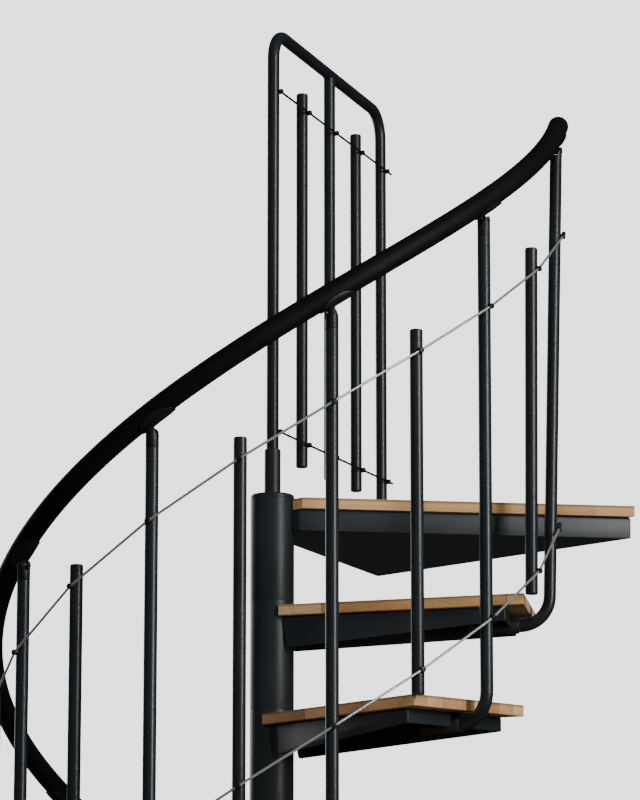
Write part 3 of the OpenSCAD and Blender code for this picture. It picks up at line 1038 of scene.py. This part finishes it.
class STAIR_OT_carriers(Operator):
    """Tread carriers: hub tube, sheet pan, web and foot socket, one for each tread"""

    bl_idname = "stair.carriers"
    bl_label = "Tread Carriers"

    def execute(self, context):
        s, t = stair(), tread()
        pan = moved(tread_pan(), at(0, 0, -t.board_t))
        under = join([pan, socket_web()])
        socket = foot_socket()
        for i in range(1, s.treads + 1):
            low = s.base_t - s.rise if i == 1 else s.hub_above - s.rise
            hub = moved(hub_tube(low, s.hub_above), tread_place(i))
            parts = [
                hub,
                copy_at(under, tread_place(i)),
                copy_at(socket, tube_place(s.treads - i)),
            ]
            name = f"carrier_{i:02d}"
            deliver(join(parts), "tread_" + name, "powder_coat", "coated_steel", name)
        bpy.data.objects.remove(under)
        bpy.data.objects.remove(socket)
        return {"FINISHED"}


def keep_grain(obj, along, shift):
    """Keeps each point's place on its own board, with x along the staves"""
    places = obj.data.attributes.new("grain_place", "FLOAT_VECTOR", "POINT")
    turned = Matrix.Rotation(-along, 3, "Z")
    values = []
    for vertex in obj.data.vertices:
        values.extend(turned @ vertex.co + Vector(shift))
    places.data.foreach_set("vector", values)


class STAIR_OT_boards(Operator):
    """Wooden tread boards with eased edges, cut round the column"""

    bl_idname = "stair.boards"
    bl_label = "Tread Boards"

    def execute(self, context):
        s, t = stair(), tread()
        half_in, half_out = t.board_w_in / 2, t.board_w_out / 2
        plan = [
            (t.board_start, -half_in),
            (t.board_reach, -half_out),
            (t.board_reach, half_out),
            (t.board_start, half_in),
        ]
        board = prism(plan, -t.board_t, 0)
        bevel_edges(
            board,
            lambda e: upright(e) and middle_of(e).x > t.board_reach - 1e-3,
            CORNER,
            5,
        )
        cut(board, column_core(s.column_d / 2 + t.board_gap))
        soften(board, t.board_ease, 4, 50)
        for i in range(1, s.treads + 1):
            twin = copy_at(board, Matrix.Identity(4))
            keep_grain(twin, 0, [i * shift for shift in STAVE_SHIFT])
            moved(twin, tread_place(i))
            node = f"tread_board_{i:02d}"
            deliver(twin, f"wood_tread_{i:02d}", "staved_beech", "beech_board", node)
        bpy.data.objects.remove(board)
        return {"FINISHED"}


class STAIR_OT_landing(Operator):
    """Landing: hub tube, folded pan with ribs and fixing holes, and its board"""

    bl_idname = "stair.landing"
    bl_label = "Landing"

    def execute(self, context):
        s, t, r = stair(), tread(), rail()
        top = landing_z()
        plan = landing_plan(t.landing_setback, 0)
        leave_edit()
        bpy.ops.mesh.primitive_plane_add(size=1)
        pan = bpy.context.object
        place_vertices(pan, lambda co: Vector((*corner_of(plan, co), 0)))
        pick(pan, "EDGE", lambda e: True)
        bpy.ops.mesh.extrude_region_move(TRANSFORM_OT_translate={"value": (0, 0, -t.landing_deep)})

        def fold(e):
            return middle_of(e).z > -5e-5 or upright(e)

        folded_pan(pan, fold, t.sheet_t)
        if min(v.co.z for v in pan.data.vertices) < -t.landing_deep - 1 * MM:
            raise RuntimeError("the landing's pan is too deep")
        cut(pan, column_core(s.column_d / 2 - 1 * MM))
        far = landing_plan(0, 0)[1:3]
        edge = Vector((-math.sin(t.landing_heading), math.cos(t.landing_heading)))
        shift = ((far[0] + far[1]) / 2).dot(edge)
        for side in (-1, 1):
            hole = cylinder(t.fixing_d / 2, -4 * t.sheet_t, 4 * t.sheet_t, 32)
            along = shift + side * t.fixing_spacing / 2
            place = about("Z", t.landing_heading) @ at(t.landing_reach, along, -t.landing_deep / 2)
            cut(pan, moved(hole, place @ about("Y", QUARTER)))
        middle = (s.top_heading + s.step_turn / 2 + r.guard_heading) / 2
        parts = [pan]
        for way in (middle - RIB_TURN, middle + RIB_TURN):
            reach = t.landing_reach / math.cos(way - t.landing_heading) - t.sheet_t
            rib = block(
                (s.column_d / 2 - 1 * MM, -t.sheet_t / 2, RIB_SHORT - t.landing_deep),
                (reach, t.sheet_t / 2, -t.sheet_t / 2),
                0.5 * MM,
            )
            parts.append(moved(rib, about("Z", way)))
            for side in (-1, 1):
                y, z = side * (t.sheet_t / 2 + SEAM), -t.sheet_t - SEAM
                line = [Vector((x, y, z)) for x in (0.06, reach - 0.02)]
                parts.append(moved(weld(line, SMALL_WELD), about("Z", way)))
        parts.append(hub_weld(middle, 58))
        spots = [polar(out, middle + math.radians(off)).xy for off, out in LANDING_SCREWS]
        parts.append(board_screws(spots))
        carrier = moved(join(parts), at(0, 0, top - t.board_t))
        hub = hub_tube(top + s.hub_above - s.rise, top + s.hub_above - s.cap_t, 0.4 * MM)
        piece = join([carrier, hub])
        deliver(piece, "landing_frame", "powder_coat", "coated_steel", "landing_carrier")

        board = prism(landing_plan(0, 0), top - t.board_t, top)
        bevel_edges(
            board,
            lambda e: upright(e) and middle_of(e).xy.length > 0.2,
            CORNER,
            5,
        )
        cut(board, cylinder(s.column_d / 2 + t.board_gap, 0, top + 1, 128))
        post = cylinder(r.tube_d / 2 + 0.2 * MM, -0.1, 0.1, 48)
        cut(board, moved(post, guard_place() @ at(r.guard_w, 0, 0)))
        soften(board, t.board_ease, 4, 50)
        keep_grain(board, s.top_heading + s.step_turn / 2, (0.41, 0.93, -top))
        deliver(board, "wood_landing", "staved_beech", "beech_board", "landing_board")
        return {"FINISHED"}


class STAIR_OT_column_cap(Operator):
    """Rounded cap that closes the column"""

    bl_idname = "stair.column_cap"
    bl_label = "Column Cap"

    def execute(self, context):
        s = stair()
        high = landing_z() + s.hub_above
        cap = cylinder(s.column_d / 2, high - s.cap_t, high, 96)
        bevel_edges(cap, on_rim(s.column_d / 2, high), s.cap_round, 8)
        bevel_edges(cap, on_rim(s.column_d / 2, high - s.cap_t), 0.3 * MM, 2)
        deliver(cap, "column_top", "powder_coat", "coated_steel", "column_cap")
        return {"FINISHED"}


# ---------------------------------------------------------------- balusters and handrail


class STAIR_OT_balusters(Operator):
    """Baluster tubes, bent in at the foot"""

    bl_idname = "stair.balusters"
    bl_label = "Balusters"

    def execute(self, context):
        s, r = stair(), rail()
        bend = r.foot_bend
        for i in range(1, s.treads + 1):
            k = s.treads - i
            tall = r.tube_top - bend_top() + r.end_lift * spread(k)
            tube = tube_run(
                at(0, 0, tall),
                [
                    ((0, 0, -tall),),
                    ((-bend, 0, 0), (0, 1, 0), QUARTER),
                    ((4 * MM - r.socket_len, 0, 0),),
                ],
                r.tube_d / 2,
            )
            soften(tube, SHARP, 2, 60)
            moved(tube, tube_place(k))
            deliver(tube, f"post_{i:02d}", "tube_coat", "coated_tube", f"baluster_{i:02d}")
        return {"FINISHED"}


def tombstone(width, low, pivot, thickness, ease):
    """A plate across x with a round top about the pivot and a square foot at low"""
    leave_edit()
    bpy.ops.mesh.primitive_cylinder_add(vertices=40, radius=width / 2, depth=thickness)
    plate = moved(bpy.context.object, about("Y", QUARTER))
    place_vertices(
        plate,
        lambda co: Vector((co.x, co.y, co.z + pivot))
        if co.z > -1e-6
        else Vector((co.x, math.copysign(width / 2, co.y) if abs(co.y) > 1e-6 else 0, low)),
    )
    outward_normals(plate)
    return soften(plate, ease, 2, 40)


class STAIR_OT_heads(Operator):
    """Forked plugs on the balusters' tops, with pivot bolts"""

    bl_idname = "stair.heads"
    bl_label = "Baluster Heads"

    def execute(self, context):
        r = rail()
        radius, nose, pivot = r.tube_d / 2, nose_r(), r.pivot_up
        body = cylinder(radius, 0, pivot + nose, 48)
        bevel_edges(body, on_rim(radius, 0), 0.6 * MM, 2)
        leave_edit()
        bpy.ops.mesh.primitive_cylinder_add(vertices=48, radius=nose, depth=2 * r.tube_d)
        outline = moved(bpy.context.object, about("Y", QUARTER))

        brow, fall = nose * 0.5, nose * 1.5
        brow_half = nose * math.cos(math.radians(30))

        def widened(co):
            """The nose above, straight shoulders out to the tube's width below"""
            if co.z > brow - 1e-5:
                return Vector((co.x, co.y, co.z + pivot))
            run = (brow - co.z) / fall * 2.2  # 1 where the shoulder ends, 2.2 at the foot
            reach = brow_half + (radius * 1.02 - brow_half) * min(1, run)
            down = brow - fall * min(1, run)
            if run > 1:
                down -= (run - 1) / 1.2 * (pivot + nose)
            y = math.copysign(reach, co.y) if abs(co.y) > 1e-6 else 0
            return Vector((co.x, y, down + pivot))

        place_vertices(outline, widened)
        outward_normals(outline)
        cut(body, outline, operation="INTERSECT")
        half = HEAD_SLOT / 2
        gap = block((-half, -r.tube_d, pivot - nose - 3 * MM), (half, r.tube_d, 2 * pivot))
        cut(body, gap)
        soften(body, 0.7 * MM, 2, 45)
        pin = cylinder(r.pin_d / 2, -radius + 2 * MM, radius - 2 * MM, 24)
        bolt = set_screw(*BOLT)
        ends = scatter(bolt, [at(0, 0, radius), at(0, 0, -radius) @ about("X", math.pi)])
        across = join([pin, ends])
        moved(across, at(0, 0, pivot) @ about("Y", QUARTER))
        head = join([body, across])
        places = []
        for k in range(last_k() + 1):
            high = r.tube_top - bend_top() + r.end_lift * spread(k)
            places.append(tube_place(k) @ at(0, 0, high))
        heads = scatter(head, places)
        deliver(heads, "rail_brackets", "moulded_fitting", "black_fitting", "baluster_heads")
        return {"FINISHED"}


class STAIR_OT_saddles(Operator):
    """Leaf-shaped saddles that hold the handrail on the heads' pivots"""

    bl_idname = "stair.saddles"
    bl_label = "Handrail Saddles"

    def execute(self, context):
        s, r = stair(), rail()
        inner = r.rail_d / 2 + SADDLE_GAP
        parts = []
        for k in range(last_k() + 1):
            slope = math.asin(rail_frame(k)[1].z)
            arc = s.rise / math.sin(slope)
            leave_edit()
            bpy.ops.mesh.primitive_grid_add(x_subdivisions=28, y_subdivisions=14, size=2)
            leaf = bpy.context.object

            def on_rail(co, k=k, arc=arc):
                u = co.x
                wrap = SADDLE_WRAP * math.sqrt(max(0.0, 1 - 0.94 * u * u)) * co.y
                here = k + u * r.saddle_len / 2 / arc
                outward, _, up = rail_frame(here)
                edge = 1 - 0.55 * max(abs(co.y), abs(u)) ** 4
                swell = inner + r.saddle_t * edge
                return rail_at(here) + swell * (math.sin(wrap) * outward - math.cos(wrap) * up)

            place_vertices(leaf, on_rail)
            outward, _, up = rail_frame(k)
            under = rail_at(k) - inner * up
            middle = min(leaf.data.polygons, key=lambda p: (p.center - under).length)
            if middle.normal.dot(up) > 0:
                edit_all(leaf)
                bpy.ops.mesh.flip_normals()
                leave_edit()
            apply_modifier(leaf, "SOLIDIFY", thickness=1.7 * MM, offset=-1, use_even_offset=True)
            soften(leaf, 0.5 * MM, 2, 50)
            parts.append(leaf)
            across = rail_over_pivot() * math.cos(slope) - inner - r.saddle_t
            tongue = tombstone(2 * nose_r() - 2 * MM, -across - 1.0 * MM, 0, TONGUE, 0.7 * MM)
            high = r.tube_top - bend_top() + r.end_lift * spread(k) + r.pivot_up
            turned = about("X", slope) @ about("X", math.pi)
            moved(tongue, tube_place(k) @ at(0, 0, high) @ turned)
            parts.append(tongue)
        saddles = join(parts)
        deliver(saddles, "rail_saddles", "moulded_fitting", "black_fitting", "handrail_saddles")
        return {"FINISHED"}


class STAIR_OT_handrail(Operator):
    """Helical handrail with a butt joint, and the bevelled plugs in its ends"""

    bl_idname = "stair.handrail"
    bl_label = "Handrail"

    joint_at: FloatProperty(name="Joint", description="Steps below the top tread", default=5.62)

    def execute(self, context):
        s, r = stair(), rail()
        run = math.hypot(s.rise, step_run())
        tail = (r.rail_tail - CAP_LEN) / run
        cap = CAP_LEN / run
        groove = 0.7 * MM / run
        cuts = 460
        ks = [last_k() + tail - n * (last_k() + 2 * tail) / cuts for n in range(cuts + 1)]
        ks += [self.joint_at + n * groove for n in (-2.5, -1, 0, 1, 2.5)]
        ks = sorted(set(ks), reverse=True)
        radii = [0.982 if abs(k - self.joint_at) < 0.5 * groove else 1.0 for k in ks]
        cover = sweep([rail_at(k) for k in ks], r.rail_d / 2, 20, radii)
        deliver(cover, "rail_cover", "rail_cover", "handrail_cover", "handrail", angle=50)
        plugs = []
        shares = (0.0, 0.04, 0.58, 0.66, 0.8, 0.93, 1.0)
        widths = (0.985, 1.0, 1.0, 0.985, 0.92, 0.82, 0.74)
        for end, way in ((-tail, -1), (last_k() + tail, 1)):
            points = [rail_at(end + way * share * cap) for share in shares]
            plugs.append(sweep(points, r.rail_d / 2, 20, widths))
        deliver(join(plugs), "rail_plugs", "rail_cover", "handrail_cover", "handrail_end_caps")
        return {"FINISHED"}


# ---------------------------------------------------------------- rods and cables


def closed_rod(low, high):
    return cylinder(rail().tube_d / 2, low, high, 40, 3 * MM, 5)


class STAIR_OT_rods(Operator):
    """Closed rods between the balusters"""

    bl_idname = "stair.rods"
    bl_label = "Infill Rods"

    def execute(self, context):
        r = rail()
        rod = closed_rod(r.rod_low - bend_top(), r.rod_low - bend_top() + r.rod_len)
        rods = scatter(rod, [tube_place(n + 0.5) for n in range(last_k())])
        deliver(rods, "rods", "tube_coat", "coated_tube", "infill_rods")
        return {"FINISHED"}


def strand_section(diameter):
    """Outline of six strands laid round a core"""
    strand, centre = diameter / 6, diameter / 3
    outline = []
    for n in range(6):
        for turned in (-62, -22, 22, 62):
            angle = math.radians(60 * n)
            around = angle + math.radians(turned)
            outline.append(
                (
                    centre * math.cos(angle) + strand * math.cos(around),
                    centre * math.sin(angle) + strand * math.sin(around),
                )
            )
    return outline


def stranded(points, diameter, lay, step=3.0 * MM):
    """A twisted strand along points, its corners eased"""
    points = resample(points, step)
    for _ in range(2):
        points = [points[0]] + [
            (a + 2 * b + c) / 4 for a, b, c in zip(points, points[1:], points[2:])
        ] + [points[-1]]
    tilts, run = [0.0], 0.0
    for a, b in zip(points, points[1:]):
        run += (b - a).length
        tilts.append(run * 2 * math.pi / lay)
    return sweep(points, 0, tilts=tilts, section=strand_section(diameter))


def cable_points(z):
    tail = clamp_half() + STOP_GAP + STOP_LEN / 2
    points = []
    for n in range(2 * last_k(), -1, -1):
        k = n / 2
        for e in (-1, 1):
            end = (n == 2 * last_k() and e < 0) or (n == 0 and e > 0)
            past = tail if end else clamp_half()
            points.append(tube_at(k, cable_off(), z) + e * past * cable_along(k, z))
    return points


class STAIR_OT_cables(Operator):
    """Two stranded steel cables outside the balusters"""

    bl_idname = "stair.cables"
    bl_label = "Stair Cables"

    def execute(self, context):
        r = rail()
        for name, z in (("upper", r.cable_high), ("lower", r.cable_low)):
            cable = stranded(cable_points(z), r.cable_d, r.cable_lay)
            deliver(cable, name + "_strand", "wire_rope", "steel_cable", name + "_cable", angle=28)
        return {"FINISHED"}


def clamp():
    """Round cable clamp on a tube, along z from the tube's axis, with a socket screw"""
    r = rail()
    reach = cable_off() + r.clamp_d / 2
    barrel = cylinder(r.clamp_d / 2, r.tube_d / 2 - 1.2 * MM, reach, 28)
    bevel_edges(barrel, on_rim(r.clamp_d / 2, reach), 1.4 * MM, 3)
    pick(barrel, "FACE", lambda f: f.normal.z > 0.99)
    bpy.ops.mesh.inset(thickness=0.9 * MM, depth=0)
    bpy.ops.mesh.extrude_region_move(TRANSFORM_OT_translate={"value": (0, 0, -0.7 * MM)})
    leave_edit()
    screw = moved(set_screw(2.6 * MM, 0.5 * MM), at(0, 0, reach - 0.7 * MM))
    return join([barrel, screw])


class STAIR_OT_clamps(Operator):
    """Cable clamps on every tube and stops on the cables' ends"""

    bl_idname = "stair.clamps"
    bl_label = "Cable Clamps"

    def execute(self, context):
        r = rail()
        outward = about("Y", QUARTER)
        places = []
        for n in range(2 * last_k() + 1):
            for z in (r.cable_low, r.cable_high):
                places.append(tube_place(n / 2) @ at(0, 0, z - bend_top()) @ outward)
        clamps = scatter(clamp(), places)
        deliver(clamps, "clamps", "moulded_fitting", "black_fitting", "cable_clamps")
        stop = cylinder((r.clamp_d - 2 * MM) / 2, 0, STOP_LEN, 28, 1.2 * MM, 3)
        places = []
        for z in (r.cable_low, r.cable_high):
            for k, way in ((0, 1), (last_k(), -1)):
                along = way * cable_along(k, z)
                start = tube_at(k, cable_off(), z) + (clamp_half() + STOP_GAP) * along
                places.append(facing(start, along))
        stops = scatter(stop, places)
        deliver(stops, "stops", "moulded_fitting", "black_fitting", "cable_stops")
        return {"FINISHED"}


# ---------------------------------------------------------------- landing guard


class STAIR_OT_guard(Operator):
    """Landing guard: bent tube frame with its middle post, two rods and the sleeve"""

    bl_idname = "stair.guard"
    bl_label = "Landing Guard"

    def execute(self, context):
        s, t, r = stair(), tread(), rail()
        bend, wide, high = r.guard_bend, r.guard_w, r.guard_h
        corner = high - bend
        hoop = tube_run(
            at(0, 0, s.hub_above),
            [
                ((0, 0, corner - s.hub_above),),
                ((bend, 0, corner), (0, 1, 0), QUARTER),
                ((wide - 2 * bend, 0, 0),),
                ((wide - bend, 0, corner), (0, 1, 0), QUARTER),
                ((0, 0, -corner - t.board_t),),
            ],
            r.tube_d / 2,
        )
        middle = cylinder(r.tube_d / 2, r.guard_low, high, 40)
        bevel_edges(middle, on_rim(r.tube_d / 2, r.guard_low), 3 * MM, 5)
        radius = r.tube_d / 2 + 0.5 * MM
        ring = []
        for n in range(49):
            a = 2 * math.pi * n / 48
            y = radius * math.sin(a)
            drop = math.sqrt(max(0.0, radius**2 - y**2))
            ring.append(Vector((radius * math.cos(a), y, high - drop)))
        moved(middle, at(wide / 2, 0, 0))
        bead = moved(weld(ring, 1.3 * MM), at(wide / 2, 0, 0))
        piece = moved(join([hoop, middle, bead]), guard_place())
        deliver(piece, "guard_hoop", "tube_coat", "coated_tube", "guard_frame")

        rod = closed_rod(r.guard_low, r.guard_rod_top)
        rods = scatter(rod, [guard_place() @ at(wide * n / 4, 0, 0) for n in (1, 3)])
        deliver(rods, "guard_bars", "tube_coat", "coated_tube", "guard_rods")

        low, top = s.hub_above, s.hub_above + r.sleeve_h
        sleeve = cylinder(r.sleeve_d / 2, low, top, 64)
        bevel_edges(sleeve, on_rim(r.sleeve_d / 2, top), 1.6 * MM, 4)
        hollow(sleeve, top, (r.sleeve_d - r.tube_d) / 2 - 1.8 * MM, -r.sleeve_h + 3 * MM)
        around = [2 * math.pi * n / 48 for n in range(49)]
        foot = [polar(r.sleeve_d / 2 + 0.4 * MM, a, low + SEAM) for a in around]
        screws = []
        for up in (0.36, 0.78):
            facing_out = math.radians(-130) - r.guard_heading
            way = Vector((math.cos(facing_out), math.sin(facing_out), 0))
            place = Vector((0, 0, low + up * r.sleeve_h)) + way * r.sleeve_d / 2
            screws.append(moved(set_screw(3.4 * MM, 0.8 * MM), facing(place, way)))
        piece = moved(join([sleeve, weld(foot, 1.4 * MM)] + screws), guard_place())
        deliver(piece, "guard_socket", "powder_coat", "coated_tube", "guard_sleeve")
        return {"FINISHED"}


class STAIR_OT_guard_cables(Operator):
    """Two black cables across the guard, with their clamps"""

    bl_idname = "stair.guard_cables"
    bl_label = "Guard Cables"

    tail: length("Tail", "Cable past the last post", 0.028)

    def execute(self, context):
        r = rail()
        heights = (r.guard_cable_low, r.guard_cable_high)
        start, end = -clamp_half(), r.guard_w + self.tail
        cables = []
        for z in heights:
            line = [Vector((x, -cable_off(), z)) for x in (start, end)]
            cables.append(stranded(line, r.cable_d, r.cable_lay))
            nib = cylinder(r.cable_d / 2 - 0.1 * MM, -1 * MM, 4 * MM, 24, 1.2 * MM, 3)
            cables.append(moved(nib, facing((end - 4.1 * MM, -cable_off(), z), (1, 0, 0))))
        piece = moved(join(cables), guard_place())
        deliver(piece, "guard_wires", "black_wire", "black_cable", "guard_cables", angle=28)
        sideways = about("X", QUARTER)
        places = []
        for z in heights:
            for n in range(5):
                places.append(guard_place() @ at(r.guard_w * n / 4, 0, z) @ sideways)
        clamps = scatter(clamp(), places)
        deliver(clamps, "guard_wire_clamps", "moulded_fitting", "black_fitting", "guard_clamps")
        return {"FINISHED"}


# ---------------------------------------------------------------- stage


class STAIR_OT_stage(Operator):
    """Pale floor, plain world, soft lights and the camera"""

    bl_idname = "stair.stage"
    bl_label = "Stage"

    def area_light(self, name, place, aim, wide, high, watts, mirrored=True):
        lamp = bpy.data.lights.new(name, "AREA")
        lamp.shape = "RECTANGLE"
        lamp.size, lamp.size_y = wide, high
        lamp.energy = watts
        obj = bpy.data.objects.new(name, lamp)
        bpy.context.scene.collection.objects.link(obj)
        obj.location = place
        obj.rotation_euler = (Vector(aim) - Vector(place)).to_track_quat("-Z", "Y").to_euler()
        obj.visible_camera = False
        obj.visible_glossy = mirrored

    def execute(self, context):
        leave_edit()
        bpy.ops.mesh.primitive_plane_add(size=60, location=(0, 0, -0.5 * MM))
        floor = bpy.context.object
        bpy.ops.object.transform_apply(location=True)
        floor.name = "studio_floor"
        paint = Shader("studio_floor")
        place = paint.node("TexCoord").outputs["Object"]
        tint = finishes().floor
        paint.wire(
            paint.ramp(paint.noise(place, 2, 2, 0.5), [(0.3, shade(tint, 0.985)), (0.7, tint)]),
            "Base Color",
        )
        paint.surface.inputs["Roughness"].default_value = 0.9
        paint.surface.inputs["Specular IOR Level"].default_value = 0.1
        floor.data.materials.append(paint.material)
        floor.visible_diffuse = False
        floor.visible_glossy = False
        only_floor = bpy.data.collections.new("only_floor")
        only_floor.objects.link(floor)
        sky = bpy.data.lights.new("floor_sky", "SUN")
        sky.energy = 6
        sky.angle = math.radians(70)
        overhead = bpy.data.objects.new("floor_sky", sky)
        bpy.context.scene.collection.objects.link(overhead)
        overhead.location = (0, 0, 9)
        overhead.light_linking.receiver_collection = only_floor

        world = bpy.data.worlds.new("studio")
        bpy.context.scene.world = world
        world.use_nodes = True
        nodes, links = world.node_tree.nodes, world.node_tree.links
        lit = nodes["Background"]
        lit.inputs["Color"].default_value = (0.9, 0.95, 1.0, 1)
        lit.inputs["Strength"].default_value = 0.035
        seen = nodes.new("ShaderNodeBackground")
        seen.inputs["Color"].default_value = (1, 1, 1, 1)
        seen.inputs["Strength"].default_value = 2.4
        either = nodes.new("ShaderNodeMixShader")
        links.new(nodes.new("ShaderNodeLightPath").outputs["Is Camera Ray"], either.inputs[0])
        links.new(lit.outputs[0], either.inputs[1])
        links.new(seen.outputs[0], either.inputs[2])
        links.new(either.outputs[0], nodes["World Output"].inputs["Surface"])

        self.area_light("strip_right", (2.9, -2.7, 3.6), (0, 0, 2.7), 0.55, 3.2, 140)
        self.area_light("front_soft", (-1.2, -7.0, 3.8), (0, 0, 2.4), 2.0, 2.0, 250, False)
        self.area_light("top_soft", (0.6, 0.4, 7.5), (0, 0, 0), 3.0, 3.0, 75, False)
        self.area_light("back_soft", (-3.2, 4.4, 3.0), (0, 0, 1.9), 2.2, 4.0, 85)
        self.area_light("low_fill", (2.6, -2.4, 0.1), (0.3, 0.3, 2.6), 1.0, 1.0, 9, False)

        camera = bpy.data.cameras.new("camera")
        camera.lens = 131.5
        camera.sensor_width = 36
        camera.shift_y = 0.125
        camera.clip_end = 200
        view = bpy.data.objects.new("camera", camera)
        bpy.context.scene.collection.objects.link(view)
        view.location = (0.0006, -5.887, 1.681)
        view.rotation_euler = (math.radians(90 + 9.268), 0, math.radians(-0.939))
        bpy.context.scene.camera = view
        return {"FINISHED"}


# ---------------------------------------------------------------- add-on


PIECES = (
    STAIR_OT_base_flange,
    STAIR_OT_carriers,
    STAIR_OT_boards,
    STAIR_OT_landing,
    STAIR_OT_column_cap,
    STAIR_OT_balusters,
    STAIR_OT_heads,
    STAIR_OT_saddles,
    STAIR_OT_handrail,
    STAIR_OT_rods,
    STAIR_OT_cables,
    STAIR_OT_clamps,
    STAIR_OT_guard,
    STAIR_OT_guard_cables,
    STAIR_OT_stage,
)


class STAIR_PT_panel(Panel):
    """Sizes, colours and the pieces of the stair"""

    bl_label = "Spiral Stair"
    bl_idname = "STAIR_PT_panel"
    bl_space_type = "VIEW_3D"
    bl_region_type = "UI"
    bl_category = "Stair"

    def draw(self, context):
        scene = context.scene
        for group in (scene.stair_sizes, scene.tread_sizes, scene.rail_sizes, scene.stair_finishes):
            column = self.layout.box().column()
            for name in group.__annotations__:
                column.prop(group, name)
        for piece in PIECES:
            self.layout.operator(piece.bl_idname)


GROUPS = {
    "stair_sizes": StairSizes,
    "tread_sizes": TreadSizes,
    "rail_sizes": RailSizes,
    "stair_finishes": StairFinishes,
}


def register():
    for cls in (*GROUPS.values(), *PIECES, STAIR_PT_panel):
        bpy.utils.register_class(cls)
    for name, cls in GROUPS.items():
        setattr(bpy.types.Scene, name, bpy.props.PointerProperty(type=cls))


def unregister():
    for name in GROUPS:
        delattr(bpy.types.Scene, name)
    for cls in reversed((*GROUPS.values(), *PIECES, STAIR_PT_panel)):
        bpy.utils.unregister_class(cls)


def main():
    register()
    bpy.ops.object.select_all(action="DESELECT")
    for piece in PIECES:
        group, name = piece.bl_idname.split(".")
        getattr(getattr(bpy.ops, group), name)()


if __name__ == "__main__":
    main()
